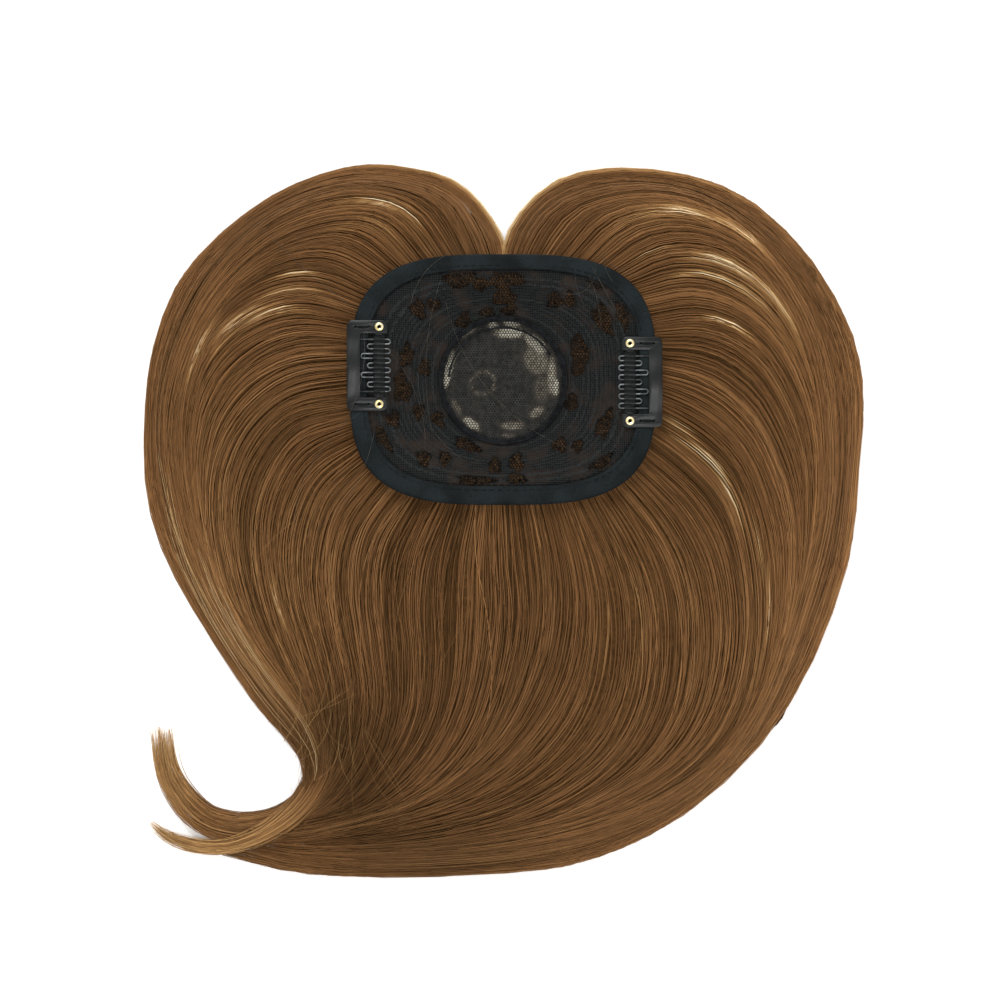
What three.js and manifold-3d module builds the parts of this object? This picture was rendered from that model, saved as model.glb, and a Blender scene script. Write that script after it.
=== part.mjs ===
// Hair topper, lying inside up as it is put down on a table.
// Millimetres, +Z up. +Y is the front, where the two lobes of hair part, and +X is to the
// right of it. The model is worked out about the middle of the base, on a floor at Z = 0,
// and the whole group is then shifted so that its origin is the middle of its footprint.

import * as THREE from 'three';
import { mergeVertices } from 'three/addons/utils/BufferGeometryUtils.js';
import Module from 'manifold-3d';

const wasm = await Module();
wasm.setup();

// Base
const BASE_WIDTH = 110;
const BASE_DEPTH = 90;
const BASE_SQUARENESS = 3.2;
const RIM_HEIGHT = 21;
const DISH_DEPTH = 9;
const LACE_WALL = 1;
const RIDGE_HEIGHT = 0.5;
const BINDING_WIDTH = 6.5;
const BINDING_WALL = 0.8;

// Crown
const CROWN_RADIUS = 22;
const CROWN_SAG = 1.5;
const NET_WALL = 1;
const PATCH_WALL = 1;
const PATCH_MARGIN = 1.5;
const SEAM_WIDTH = 2.6;
const SEAM_WALL = 0.8;

// Snap comb clips
const PLATE_LENGTH = 32.2;
const PLATE_DEPTH = 14.3;
const PLATE_WALL = 0.5;
const PLATE_BOW = 1.2;
const PLATE_CORNER = 2;
const ARM_WIDTH = 4.45;
const BAR_WIDTH = 4.6;
const EYELET_INSET = 11.5;
const EYELET_RADIUS = 1.55;
const EYELET_BORE = 0.7;
const EYELET_SHANK = 1.05;
const EYELET_FLANGE = 0.3;
const SEWING_HOLE = 0.55;
const SEWING_INSETS = [3, 7.6];
const TAB_WIDTH = 3.4;
const TAB_WALL = 0.5;
const RISER_WIDTH = 2;
const PIN_RADIUS = 0.45;
const PIN_REACH = 0.5;
const WIRE_RADIUS = 0.35;
const WIRE_RUNS = 12;
const LONG_TOOTH = 6.5;
const SHORT_TOOTH = 4.2;
const LOOP_REACH = 4;
const SLEEVE_WIDTH = 4.2;
const SLEEVE_WALL = 1.5;
const SLEEVE_WAVE = 0.15;
const SLEEVE_LAND = 0.55;
const CLIPS = [
  { side: 'left', along: 5, turn: 0 },
  { side: 'right', along: -0.95, turn: Math.PI },
];

// Hair
const HAIR_SIDE = 130;
const HAIR_LENGTH = 180;
const HAIR_LOFT = 18.4;
const LOCKS = 19;
const LOCK_OVERLAP = 1.3;
const NARROWEST_LOCK = 8;
const WIDEST_LOCK = 23;

// Clearances
const CLOTH_GAP = 0.3;
const METAL_GAP = 0.2;
const RUNNING_GAP = 0.1;

// Facets
const RIM_SIDES = 40;
const CROWN_SIDES = 24;
const LOCK_STEPS = 11;
const HOLE_SIDES = 6;

// The lace from the crown to the binding: share of the way, and how far the ridge rises.
const LACE_ROWS = [
  { share: 0, ridge: 0 },
  { share: 0.14, ridge: 1 },
  { share: 0.2, ridge: 0 },
  { share: 0.36, ridge: 0 },
  { share: 0.4, ridge: 1 },
  { share: 0.44, ridge: 0 },
  { share: 0.66, ridge: 0 },
  { share: 0.7, ridge: 1 },
  { share: 0.74, ridge: 0 },
  { share: 1, ridge: 0 },
];
const LACE_BACK_SHARES = [1, 0.7, 0.4, 0.2, 0];

// The crown from its middle to its seam: share of the radius, and share of the sag left.
const CROWN_ROWS = [
  { share: 0.45, sag: 1 },
  { share: 0.75, sag: 0.6 },
  { share: 1, sag: 0 },
];

// Height of a lock from root to tip, as shares of the loft.
const LOCK_HEIGHTS = [0.98, 1, 0.94, 0.84, 0.72, 0.6, 0.46, 0.26];

// Width of a lock from root to tip, as shares of its spacing.
const LOCK_WIDTHS = [1, 1, 1, 1, 1, 1, 0.9, 0.35];

// Section of a lock: [across, up], as shares of its width and height.
const LOCK_SIDE = [[0.62, -0.1], [0.6, 0.4], [0.36, 0.85]];
const LOCK_SECTION = [...LOCK_SIDE, [0, 1], ...LOCK_SIDE.map(([across, up]) => [-across, up]).reverse()];

// The combed fan of hair, round the base from one side of the parting to the other. Each
// row is a guide: the bearing of its root on the rim in degrees, its share of the loft, and
// the way it takes, as shares of the side reach and of the fall.
const FAN = [
  {
    root: 88,
    loft: 0.62,
    across: [0.08, 0.36, 0.73, 0.92, 0.89, 0.68, 0.12],
    along: [0.30, 0.36, 0.29, 0.05, -0.33, -0.71, -0.95],
  },
  {
    root: 62,
    loft: 0.90,
    across: [0.32, 0.63, 0.84, 0.84, 0.69, 0.40, -0.09],
    along: [0.33, 0.27, 0.05, -0.31, -0.64, -0.84, -0.95],
  },
  {
    root: 28,
    loft: 1.00,
    across: [0.59, 0.79, 0.85, 0.79, 0.60, 0.27, -0.30],
    along: [0.16, -0.02, -0.25, -0.48, -0.71, -0.89, -0.98],
  },
  {
    root: -18,
    loft: 1.00,
    across: [0.55, 0.65, 0.65, 0.55, 0.34, 0.01, -0.53],
    along: [-0.14, -0.29, -0.45, -0.62, -0.77, -0.89, -0.97],
  },
  {
    root: -55,
    loft: 1.00,
    across: [0.25, 0.27, 0.24, 0.13, -0.04, -0.29, -0.66],
    along: [-0.34, -0.46, -0.58, -0.70, -0.80, -0.89, -0.96],
  },
  {
    root: -98,
    loft: 0.98,
    across: [-0.06, -0.08, -0.11, -0.18, -0.29, -0.44, -0.65],
    along: [-0.36, -0.47, -0.58, -0.68, -0.78, -0.87, -0.93],
  },
  {
    root: -135,
    loft: 0.95,
    across: [-0.38, -0.42, -0.42, -0.37, -0.35, -0.39, -0.53],
    along: [-0.26, -0.36, -0.46, -0.57, -0.68, -0.79, -0.88],
  },
  {
    root: -172,
    loft: 1.00,
    across: [-0.57, -0.67, -0.68, -0.63, -0.55, -0.46, -0.46],
    along: [-0.04, -0.12, -0.24, -0.37, -0.52, -0.67, -0.83],
  },
  {
    root: -212,
    loft: 1.00,
    across: [-0.45, -0.67, -0.80, -0.83, -0.78, -0.64, -0.49],
    along: [0.24, 0.18, 0.02, -0.17, -0.38, -0.58, -0.80],
  },
  {
    root: -268,
    loft: 0.62,
    across: [-0.05, -0.32, -0.71, -0.90, -0.91, -0.73, -0.53],
    along: [0.33, 0.40, 0.29, 0.05, -0.27, -0.57, -0.79],
  },
];

// The locks that curl back to the left in a hook, given the same way.
const HOOKS = [
  {
    width: 12,
    loft: 0.55,
    across: [-0.77, -0.66, -0.51, -0.50, -0.65, -0.81, -0.91, -0.95],
    along: [-0.36, -0.56, -0.72, -0.82, -0.91, -0.90, -0.80, -0.68],
  },
  {
    width: 10,
    loft: 0.45,
    across: [-0.48, -0.42, -0.44, -0.56, -0.70, -0.85, -0.97],
    along: [-0.52, -0.66, -0.80, -0.90, -0.93, -0.92, -0.88],
  },
];

// Numbers and splines

const fullTurn = 2 * Math.PI;
const radians = THREE.MathUtils.degToRad;
const lerp = THREE.MathUtils.lerp;
const clamp = THREE.MathUtils.clamp;
const steps = (count) => Array.from({ length: count }, (_, i) => i);

// Catmull-Rom through evenly spaced values; at runs from 0 to values.length - 1.
function smooth(values, at) {
  const i = clamp(Math.floor(at), 0, values.length - 2);
  const f = at - i;
  const last = values.length - 1;
  const b = values[i];
  const c = values[i + 1];
  const a = i > 0 ? values[i - 1] : 2 * b - c;
  const d = i + 2 <= last ? values[i + 2] : 2 * c - b;
  const curve = a - 2.5 * b + 2 * c - 0.5 * d;
  const twist = 1.5 * (b - c) + 0.5 * (d - a);
  return b + f * (0.5 * (c - a) + f * (curve + f * twist));
}

function smoothPoint(points, at) {
  const x = smooth(points.map((p) => p.x), at);
  const y = smooth(points.map((p) => p.y), at);
  return new THREE.Vector2(x, y);
}

// Meshes and solids

// Skins rings of points that all have the same count. A looped skin closes on its first
// ring, and any other is capped at both ends.
function skin(rings, looped = false) {
  const count = rings[0].length;
  const faces = [];
  const seams = looped ? rings.length : rings.length - 1;
  for (const i of steps(seams)) {
    const here = i * count;
    const next = ((i + 1) % rings.length) * count;
    for (const j of steps(count)) {
      const k = (j + 1) % count;
      faces.push(here + j, here + k, next + k, here + j, next + k, next + j);
    }
  }
  if (!looped) {
    const end = (rings.length - 1) * count;
    for (let j = 1; j < count - 1; j += 1) {
      faces.push(0, j + 1, j, end, end + j, end + j + 1);
    }
  }
  const geometry = new THREE.BufferGeometry().setFromPoints(rings.flat());
  geometry.setIndex(faces);
  return facingOut(geometry);
}

function signedVolume(geometry) {
  const at = geometry.attributes.position;
  const index = geometry.index.array;
  const [a, b, c] = [new THREE.Vector3(), new THREE.Vector3(), new THREE.Vector3()];
  let volume = 0;
  for (let i = 0; i < index.length; i += 3) {
    a.fromBufferAttribute(at, index[i]);
    b.fromBufferAttribute(at, index[i + 1]);
    c.fromBufferAttribute(at, index[i + 2]);
    volume += a.dot(b.cross(c)) / 6;
  }
  return volume;
}

function facingOut(geometry) {
  if (signedVolume(geometry) < 0) {
    const index = geometry.index.array;
    for (let i = 0; i < index.length; i += 3) {
      [index[i + 1], index[i + 2]] = [index[i + 2], index[i + 1]];
    }
  }
  return geometry;
}

function merged(geometry) {
  const bare = geometry.clone();
  bare.deleteAttribute('normal');
  bare.deleteAttribute('uv');
  return facingOut(mergeVertices(bare, 1e-4));
}

function solid(geometry) {
  const bare = merged(geometry);
  return new wasm.Manifold(new wasm.Mesh({
    numProp: 3,
    vertProperties: new Float32Array(bare.attributes.position.array),
    triVerts: new Uint32Array(bare.index.array),
  }));
}

function shell(body) {
  const mesh = body.getMesh();
  const geometry = new THREE.BufferGeometry();
  geometry.setAttribute('position', new THREE.BufferAttribute(mesh.vertProperties, 3));
  geometry.setIndex(new THREE.BufferAttribute(mesh.triVerts, 1));
  return geometry;
}

function block(x0, x1, y0, y1, z0, z1) {
  const box = new THREE.BoxGeometry(x1 - x0, y1 - y0, z1 - z0);
  return box.translate((x0 + x1) / 2, (y0 + y1) / 2, (z0 + z1) / 2);
}

// An upright prism over a plan, from z0 to z1.
function prism(shape, z0, z1) {
  const options = { depth: z1 - z0, bevelEnabled: false, curveSegments: 1 };
  return new THREE.ExtrudeGeometry(shape, options).translate(0, 0, z0);
}

function roundHole(x, y, radius) {
  const corner = (i) => fullTurn * (i + 0.5) / HOLE_SIDES;
  return new THREE.Path(steps(HOLE_SIDES).map((i) => {
    const angle = corner(i);
    return new THREE.Vector2(x + radius * Math.cos(angle), y + radius * Math.sin(angle));
  }));
}

function roundedShape(x0, x1, y0, y1, leftRadius, rightRadius) {
  const shape = new THREE.Shape();
  shape.moveTo(x0 + leftRadius, y0);
  shape.lineTo(x1 - rightRadius, y0);
  shape.absarc(x1 - rightRadius, y0 + rightRadius, rightRadius, -Math.PI / 2, 0);
  shape.lineTo(x1, y1 - rightRadius);
  shape.absarc(x1 - rightRadius, y1 - rightRadius, rightRadius, 0, Math.PI / 2);
  shape.lineTo(x0 + leftRadius, y1);
  shape.absarc(x0 + leftRadius, y1 - leftRadius, leftRadius, Math.PI / 2, Math.PI);
  shape.lineTo(x0, y0 + leftRadius);
  shape.absarc(x0 + leftRadius, y0 + leftRadius, leftRadius, Math.PI, 1.5 * Math.PI);
  return shape;
}

function rod(radius, length, sides) {
  return new THREE.CylinderGeometry(radius, radius, length, sides);
}

// Base: outline and dish

// The rim is a superellipse, drawn in by an inset.
function rimPoint(bearing, inset = 0) {
  const halfWidth = BASE_WIDTH / 2 - inset;
  const halfDepth = BASE_DEPTH / 2 - inset;
  const across = Math.abs(Math.cos(bearing)) / halfWidth;
  const along = Math.abs(Math.sin(bearing)) / halfDepth;
  const reach = (across ** BASE_SQUARENESS + along ** BASE_SQUARENESS) ** (-1 / BASE_SQUARENESS);
  return new THREE.Vector2(reach * Math.cos(bearing), reach * Math.sin(bearing));
}

function crownPoint(bearing, radius) {
  return new THREE.Vector2(radius * Math.cos(bearing), radius * Math.sin(bearing));
}

const crownHeight = RIM_HEIGHT - DISH_DEPTH;
const laceEdge = BINDING_WALL + CLOTH_GAP;
const laceHem = CROWN_RADIUS + CLOTH_GAP;

function dishHeight(share) {
  return crownHeight + DISH_DEPTH * (1 - Math.cos(Math.PI * share)) / 2;
}

// A point of the dish between the crown at share 0 and the binding at share 1.
function dishPoint(bearing, share, lift) {
  const flat = crownPoint(bearing, laceHem).lerp(rimPoint(bearing, BINDING_WIDTH), share);
  return new THREE.Vector3(flat.x, flat.y, dishHeight(share) + lift);
}

function rimVector(bearing, inset, z) {
  const flat = rimPoint(bearing, inset);
  return new THREE.Vector3(flat.x, flat.y, z);
}

// Skins a section that is carried right round the base; section(bearing) lists its points.
function hoop(section, sides) {
  return skin(steps(sides).map((i) => section(fullTurn * i / sides)), true);
}

function laceCap() {
  return hoop((bearing) => [
    ...LACE_ROWS.map((row) => dishPoint(bearing, row.share, RIDGE_HEIGHT * row.ridge)),
    rimVector(bearing, laceEdge, RIM_HEIGHT),
    rimVector(bearing, laceEdge, RIM_HEIGHT - LACE_WALL),
    ...LACE_BACK_SHARES.map((share) => dishPoint(bearing, share, -LACE_WALL)),
  ], RIM_SIDES);
}

// The tape is folded over the edge of the lace: its section is a flattened C.
const bindingPillow = 0.15;
const bindingTop = RIM_HEIGHT + CLOTH_GAP + BINDING_WALL;
const bindingFoot = RIM_HEIGHT - LACE_WALL - CLOTH_GAP - BINDING_WALL;

function binding() {
  const middle = RIM_HEIGHT - LACE_WALL / 2;
  const over = RIM_HEIGHT + CLOTH_GAP;
  const under = RIM_HEIGHT - LACE_WALL - CLOTH_GAP;
  return hoop((bearing) => [
    rimVector(bearing, BINDING_WIDTH, over),
    rimVector(bearing, BINDING_WIDTH, bindingTop - bindingPillow),
    rimVector(bearing, BINDING_WIDTH / 2, bindingTop + bindingPillow),
    rimVector(bearing, BINDING_WALL, bindingTop),
    rimVector(bearing, 0, middle + LACE_WALL / 2),
    rimVector(bearing, 0, middle - LACE_WALL / 2),
    rimVector(bearing, BINDING_WALL, bindingFoot),
    rimVector(bearing, BINDING_WIDTH, bindingFoot),
    rimVector(bearing, BINDING_WIDTH, under),
    rimVector(bearing, BINDING_WALL, under),
    rimVector(bearing, BINDING_WALL, over),
  ], RIM_SIDES);
}

// Crown: net, seam ring and scalp patch

// A sagging round sheet, from its flat middle out to a radius, between two levels.
function roundSheet(radius, top, wall) {
  const topRow = ({ share, sag }) => new THREE.Vector2(radius * share, top - CROWN_SAG * sag);
  const upper = CROWN_ROWS.map(topRow);
  const lower = upper.map((p) => new THREE.Vector2(p.x, p.y - wall));
  const axisTop = new THREE.Vector2(0, upper[0].y);
  const axisBottom = new THREE.Vector2(0, upper[0].y - wall);
  const profile = [axisBottom, ...lower, ...upper.reverse(), axisTop];
  return merged(new THREE.LatheGeometry(profile, CROWN_SIDES).rotateX(Math.PI / 2));
}

const patchTop = crownHeight - NET_WALL - CLOTH_GAP;

function crownNet() {
  return roundSheet(CROWN_RADIUS, crownHeight, NET_WALL);
}

function scalpPatch() {
  return roundSheet(CROWN_RADIUS + PATCH_MARGIN, patchTop, PATCH_WALL);
}

function crownRing() {
  const half = SEAM_WIDTH / 2;
  const at = (bearing, offset, z) => {
    const flat = crownPoint(bearing, CROWN_RADIUS + offset);
    return new THREE.Vector3(flat.x, flat.y, crownHeight + z);
  };
  const foot = CLOTH_GAP;
  const outerShare = half / (BASE_DEPTH / 2 - BINDING_WIDTH - CROWN_RADIUS);
  const outerFoot = foot + dishHeight(outerShare) - crownHeight;
  return hoop((bearing) => [
    at(bearing, -half, foot),
    at(bearing, -half / 2, foot + SEAM_WALL),
    at(bearing, half / 2, foot + SEAM_WALL),
    at(bearing, half, outerFoot + SEAM_WALL / 4),
    at(bearing, half, outerFoot),
  ], RIM_SIDES);
}

// Snap comb clip. Its own frame has X from the outer edge of the plate inwards, Y along
// the plate and Z = 0 at the middle of the flat arms.

const armCentre = PLATE_LENGTH / 2 - EYELET_RADIUS - (ARM_WIDTH - 2 * EYELET_RADIUS) / 2;
const windowEnd = PLATE_LENGTH / 2 - ARM_WIDTH;
const tabTop = -PLATE_WALL / 2 - METAL_GAP;
const hingeLevel = WIRE_RADIUS - PLATE_WALL / 2;
const holeFlat = Math.cos(Math.PI / HOLE_SIDES);
const eyeletSeat = (EYELET_SHANK + METAL_GAP) / holeFlat;
const riserFace = windowEnd - METAL_GAP - TAB_WALL;
const sleeveEnd = riserFace - METAL_GAP;
const wirePitch = 2 * (sleeveEnd - SLEEVE_LAND) / WIRE_RUNS;

// The bar of the plate arches up between its two flat arms.
function plateBow(y) {
  const share = clamp(y / windowEnd, -1, 1);
  return PLATE_BOW * (1 - share * share) ** 2;
}

function arch() {
  const spans = 12;
  const margin = 1;
  const stations = steps(spans + 1).map((i) => lerp(-windowEnd, windowEnd, i / spans));
  const ends = PLATE_LENGTH / 2 + margin;
  return skin([-ends, ...stations, ends].map((y) => {
    const low = plateBow(y) - PLATE_WALL / 2;
    const high = plateBow(y) + PLATE_WALL / 2;
    return [
      new THREE.Vector3(-margin, y, low),
      new THREE.Vector3(-margin, y, high),
      new THREE.Vector3(PLATE_DEPTH + margin, y, high),
      new THREE.Vector3(PLATE_DEPTH + margin, y, low),
    ];
  }));
}

function platePlan() {
  const half = PLATE_LENGTH / 2;
  const plan = roundedShape(0, PLATE_DEPTH, -half, half, PLATE_CORNER, PLATE_CORNER);
  for (const end of [-1, 1]) {
    plan.holes.push(roundHole(EYELET_INSET, end * armCentre, eyeletSeat));
    for (const inset of SEWING_INSETS) {
      plan.holes.push(roundHole(inset, end * armCentre, SEWING_HOLE));
    }
  }
  return plan;
}

function clipPlate() {
  const tall = PLATE_BOW + 2 * PLATE_WALL;
  const corner = PLATE_CORNER / 4;
  const window = roundedShape(BAR_WIDTH, 2 * PLATE_DEPTH, -windowEnd, windowEnd, corner, corner);
  const plan = solid(prism(platePlan(), -tall, tall));
  const opening = solid(prism(window, -2 * tall, 2 * tall));
  return shell(solid(arch()).intersect(plan).subtract(opening));
}

function eyelet() {
  const top = PLATE_WALL / 2 + METAL_GAP;
  const foot = tabTop - TAB_WALL - METAL_GAP;
  const lip = (EYELET_RADIUS + EYELET_BORE) / 2;
  const profile = [
    [EYELET_BORE, foot - EYELET_FLANGE],
    [lip + METAL_GAP, foot - EYELET_FLANGE],
    [lip + METAL_GAP, foot],
    [EYELET_SHANK, foot],
    [EYELET_SHANK, top],
    [EYELET_RADIUS, top],
    [EYELET_RADIUS, top + EYELET_FLANGE / 2],
    [lip, top + EYELET_FLANGE],
    [EYELET_BORE, top + EYELET_FLANGE / 2],
    [EYELET_BORE, foot - EYELET_FLANGE],
  ].map(([radius, z]) => new THREE.Vector2(radius, z));
  return merged(new THREE.LatheGeometry(profile, 10).rotateX(Math.PI / 2));
}

// The end of the hinge strap: a tab under the arm, held by the eyelet, that turns up past
// the arm in a riser, with a round pin that points along -Y into the sleeve of the comb.
// Its origin is on the eyelet's axis.
function strapEnd() {
  const face = riserFace - armCentre;
  const inner = face + TAB_WALL;
  const tip = sleeveEnd - PIN_REACH - armCentre;
  const root = face + TAB_WALL / 2;
  const radius = TAB_WIDTH / 4;
  const tab = roundedShape(-TAB_WIDTH / 2, TAB_WIDTH / 2, face, TAB_WIDTH / 2, radius, radius);
  tab.holes.push(roundHole(0, 0, eyeletSeat));
  const foot = tabTop - TAB_WALL;
  const riser = block(-RISER_WIDTH / 2, RISER_WIDTH / 2, face, inner, foot, hingeLevel + 2 * PIN_RADIUS);
  const pin = rod(PIN_RADIUS, root - tip, 10).translate(0, (root + tip) / 2, hingeLevel);
  return shell(solid(prism(tab, foot, tabTop)).add(solid(riser)).add(solid(pin)));
}

// The comb's wire runs to and fro along X: the teeth bend at -X and the loops at +X. Its
// origin is on the hinge line.
function wireRoute() {
  const bend = wirePitch / 2;
  const turnSteps = 3;
  const firstRun = -wirePitch * (WIRE_RUNS - 1) / 2;
  const route = [new THREE.Vector2(-LONG_TOOTH, firstRun)];
  for (const run of steps(WIRE_RUNS - 1)) {
    const outward = run % 2 === 0;
    const tooth = run % 4 === 1 ? SHORT_TOOTH : LONG_TOOTH;
    const x = outward ? LOOP_REACH - bend : bend - tooth;
    const y = firstRun + wirePitch * (run + 0.5);
    for (const i of steps(turnSteps + 1)) {
      const angle = Math.PI * (i / turnSteps - 0.5);
      const swing = (outward ? 1 : -1) * bend * Math.cos(angle);
      route.push(new THREE.Vector2(x + swing, y + bend * Math.sin(angle)));
    }
  }
  route.push(new THREE.Vector2(-LONG_TOOTH, -firstRun));
  return route;
}

function combWire() {
  const sides = 5;
  const route = wireRoute();
  const heading = (i) => route[Math.min(i + 1, route.length - 1)].clone()
    .sub(route[Math.max(i - 1, 0)]).normalize();
  const rings = route.map((point, i) => {
    const along = heading(i);
    return steps(sides).map((j) => {
      const angle = fullTurn * j / sides;
      const out = WIRE_RADIUS * Math.cos(angle);
      const up = WIRE_RADIUS * Math.sin(angle);
      return new THREE.Vector3(point.x - along.y * out, point.y + along.x * out, up);
    });
  });
  return skin(rings);
}

// The soft sleeve is drilled along X for each run of wire, rises over each of them, and
// has a socket for the strap's pin in either end. Its section is drawn in Y and Z.
function combSleeve() {
  const half = SLEEVE_WALL / 2;
  const channel = (WIRE_RADIUS + RUNNING_GAP) / holeFlat;
  const section = new THREE.Shape();
  section.moveTo(-sleeveEnd, -half);
  section.lineTo(sleeveEnd, -half);
  section.lineTo(sleeveEnd, half - SLEEVE_WAVE);
  for (const run of steps(WIRE_RUNS).reverse()) {
    const y = wirePitch * (run - (WIRE_RUNS - 1) / 2);
    section.lineTo(y + wirePitch / 2, half - SLEEVE_WAVE);
    section.lineTo(y, half);
    section.holes.push(roundHole(y, 0, channel));
  }
  section.lineTo(-wirePitch * WIRE_RUNS / 2, half - SLEEVE_WAVE);
  section.lineTo(-sleeveEnd, half - SLEEVE_WAVE);
  const sleeve = prism(section, -SLEEVE_WIDTH / 2, SLEEVE_WIDTH / 2);
  sleeve.rotateX(Math.PI / 2).rotateZ(Math.PI / 2);
  const socketReach = 2 * (PIN_REACH + RUNNING_GAP);
  let body = solid(sleeve);
  for (const end of [-1, 1]) {
    const socket = rod(PIN_RADIUS + RUNNING_GAP, socketReach, 10).translate(0, end * sleeveEnd, 0);
    body = body.subtract(solid(socket));
  }
  return shell(body);
}

// Hair

// Way points of a guide at any place in the fan, from its root on the rim to its tip.
function wayPoints({ across, along }) {
  return across.map((share, i) => new THREE.Vector2(share * HAIR_SIDE, along[i] * HAIR_LENGTH));
}

const fanGuides = FAN.map((row) => {
  const start = rimPoint(radians(row.root), BINDING_WIDTH);
  return { loft: row.loft, points: [start, ...wayPoints(row)] };
});

function guideAt(place) {
  const stations = steps(fanGuides[0].points.length);
  return stations.map((i) => smoothPoint(fanGuides.map((guide) => guide.points[i]), place));
}

function shareAlong(points, share) {
  return share * (points.length - 1);
}

// A loaf-shaped strip on the floor along a guide; width(share) and height(share) in mm.
function strip(points, width, height) {
  const rings = steps(LOCK_STEPS + 1).map((i) => {
    const share = i / LOCK_STEPS;
    const at = smoothPoint(points, shareAlong(points, share));
    const behind = smoothPoint(points, shareAlong(points, Math.max(share - 0.01, 0)));
    const ahead = smoothPoint(points, shareAlong(points, Math.min(share + 0.01, 1)));
    const along = ahead.sub(behind).normalize();
    return LOCK_SECTION.map(([across, up]) => {
      const out = across * width(share);
      return new THREE.Vector3(at.x + along.y * out, at.y - along.x * out, up * height(share));
    });
  });
  return skin(rings);
}

function tableAt(values, share) {
  return smooth(values, share * (values.length - 1));
}

function fanLock(number) {
  const spacing = (FAN.length - 1) / LOCKS;
  const place = spacing * (number + 0.5);
  const points = guideAt(place);
  const near = guideAt(place - spacing / 2);
  const far = guideAt(place + spacing / 2);
  const loft = HAIR_LOFT * smooth(fanGuides.map((guide) => guide.loft), place);
  const layer = number % 2 === 0 ? 1 : 0.92;
  const width = (share) => {
    const a = smoothPoint(near, shareAlong(near, share));
    const b = smoothPoint(far, shareAlong(far, share));
    const wanted = clamp(LOCK_OVERLAP * a.distanceTo(b), NARROWEST_LOCK, WIDEST_LOCK);
    return wanted * tableAt(LOCK_WIDTHS, share);
  };
  return strip(points, width, (share) => loft * layer * tableAt(LOCK_HEIGHTS, share));
}

function hookLock(row) {
  const width = (share) => row.width * tableAt(LOCK_WIDTHS, share);
  const height = (share) => row.loft * HAIR_LOFT * tableAt(LOCK_HEIGHTS, share);
  return strip(wayPoints(row), width, height);
}

// The pad of wefted hair that the cap lies on and that the locks are fused to.
function backingPad() {
  const sides = RIM_SIDES / 2;
  const ring = (z) => steps(sides).map((i) => rimVector(fullTurn * i / sides, BINDING_WALL, z));
  return skin([ring(-1), ring(RIM_HEIGHT)]);
}

// All the room that the base takes up and a gap round it, open upwards.
function baseRoom() {
  const clear = CLOTH_GAP;
  const patchRadius = CROWN_RADIUS + PATCH_MARGIN + clear;
  const patchFoot = patchTop - PATCH_WALL - clear;
  const patchRing = (radius, z) => (bearing) => {
    const flat = crownPoint(bearing, radius);
    return new THREE.Vector3(flat.x, flat.y, z);
  };
  const firstShare = (patchRadius - laceHem) / (BASE_DEPTH / 2 - BINDING_WIDTH - laceHem);
  const middleShares = LACE_BACK_SHARES.filter((share) => share > firstShare && share < 1).reverse();
  const under = -LACE_WALL - clear;
  const rings = [
    patchRing(CROWN_ROWS[0].share * patchRadius, patchFoot - CROWN_SAG),
    patchRing(patchRadius, patchFoot),
    (bearing) => dishPoint(bearing, firstShare, under),
    ...middleShares.map((share) => (bearing) => dishPoint(bearing, share, under)),
    (bearing) => rimVector(bearing, BINDING_WIDTH + clear, RIM_HEIGHT + under),
    (bearing) => rimVector(bearing, BINDING_WIDTH + clear, bindingFoot - clear),
    (bearing) => rimVector(bearing, -clear, bindingFoot - clear),
    (bearing) => rimVector(bearing, -clear, 2 * RIM_HEIGHT),
  ];
  return skin(rings.map((ring) => steps(RIM_SIDES).map((i) => ring(fullTurn * i / RIM_SIDES))));
}

function hair() {
  const locks = [...steps(LOCKS).map(fanLock), ...HOOKS.map(hookLock), backingPad()];
  let body = locks.map(solid).reduce((whole, lock) => whole.add(lock));
  const reach = 2 * (HAIR_SIDE + HAIR_LENGTH);
  const below = block(-reach, reach, -reach, reach, -reach, 0);
  body = body.subtract(solid(below)).subtract(solid(baseRoom()));
  return shell(body);
}

// Materials

const finish = (color, roughness, metalness = 0) => new THREE.MeshStandardMaterial({
  color,
  roughness,
  metalness,
  flatShading: true,
});
const brownHair = finish('#7a5733', 0.45);
const blackLace = finish('#17181a', 0.9);
const blackSatin = finish('#15191d', 0.6);
const paleSkin = finish('#d9cdbb', 0.7);
const blackLacquer = finish('#1b1d1d', 0.3, 0.4);
const blackWire = finish('#5b5e5f', 0.3, 0.8);
const blackRubber = finish('#1a1c1b', 0.7);
const brass = finish('#d8c07a', 0.25, 1);

// Assembly

const topper = new THREE.Group();

function place(parent, name, geometry, material) {
  const mesh = new THREE.Mesh(geometry, material);
  mesh.name = name;
  parent.add(mesh);
  return mesh;
}

place(topper, 'hair', hair(), brownHair);
place(topper, 'lace_cap', laceCap(), blackLace);
place(topper, 'binding', binding(), blackSatin);
place(topper, 'crown_ring', crownRing(), blackSatin);
place(topper, 'crown_net', crownNet(), blackLace);
place(topper, 'scalp_patch', scalpPatch(), paleSkin);

// Where the strap tab at one end of a clip clears the inner edge of the binding.
function clipEdge(along, end) {
  const corner = Math.abs(along + end * (armCentre + TAB_WIDTH / 2));
  const halfWidth = BASE_WIDTH / 2 - BINDING_WIDTH;
  const halfDepth = BASE_DEPTH / 2 - BINDING_WIDTH;
  const share = 1 - (corner / halfDepth) ** BASE_SQUARENESS;
  const inner = halfWidth * share ** (1 / BASE_SQUARENESS);
  return inner - CLOTH_GAP - TAB_WIDTH / 2 + EYELET_INSET;
}

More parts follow.
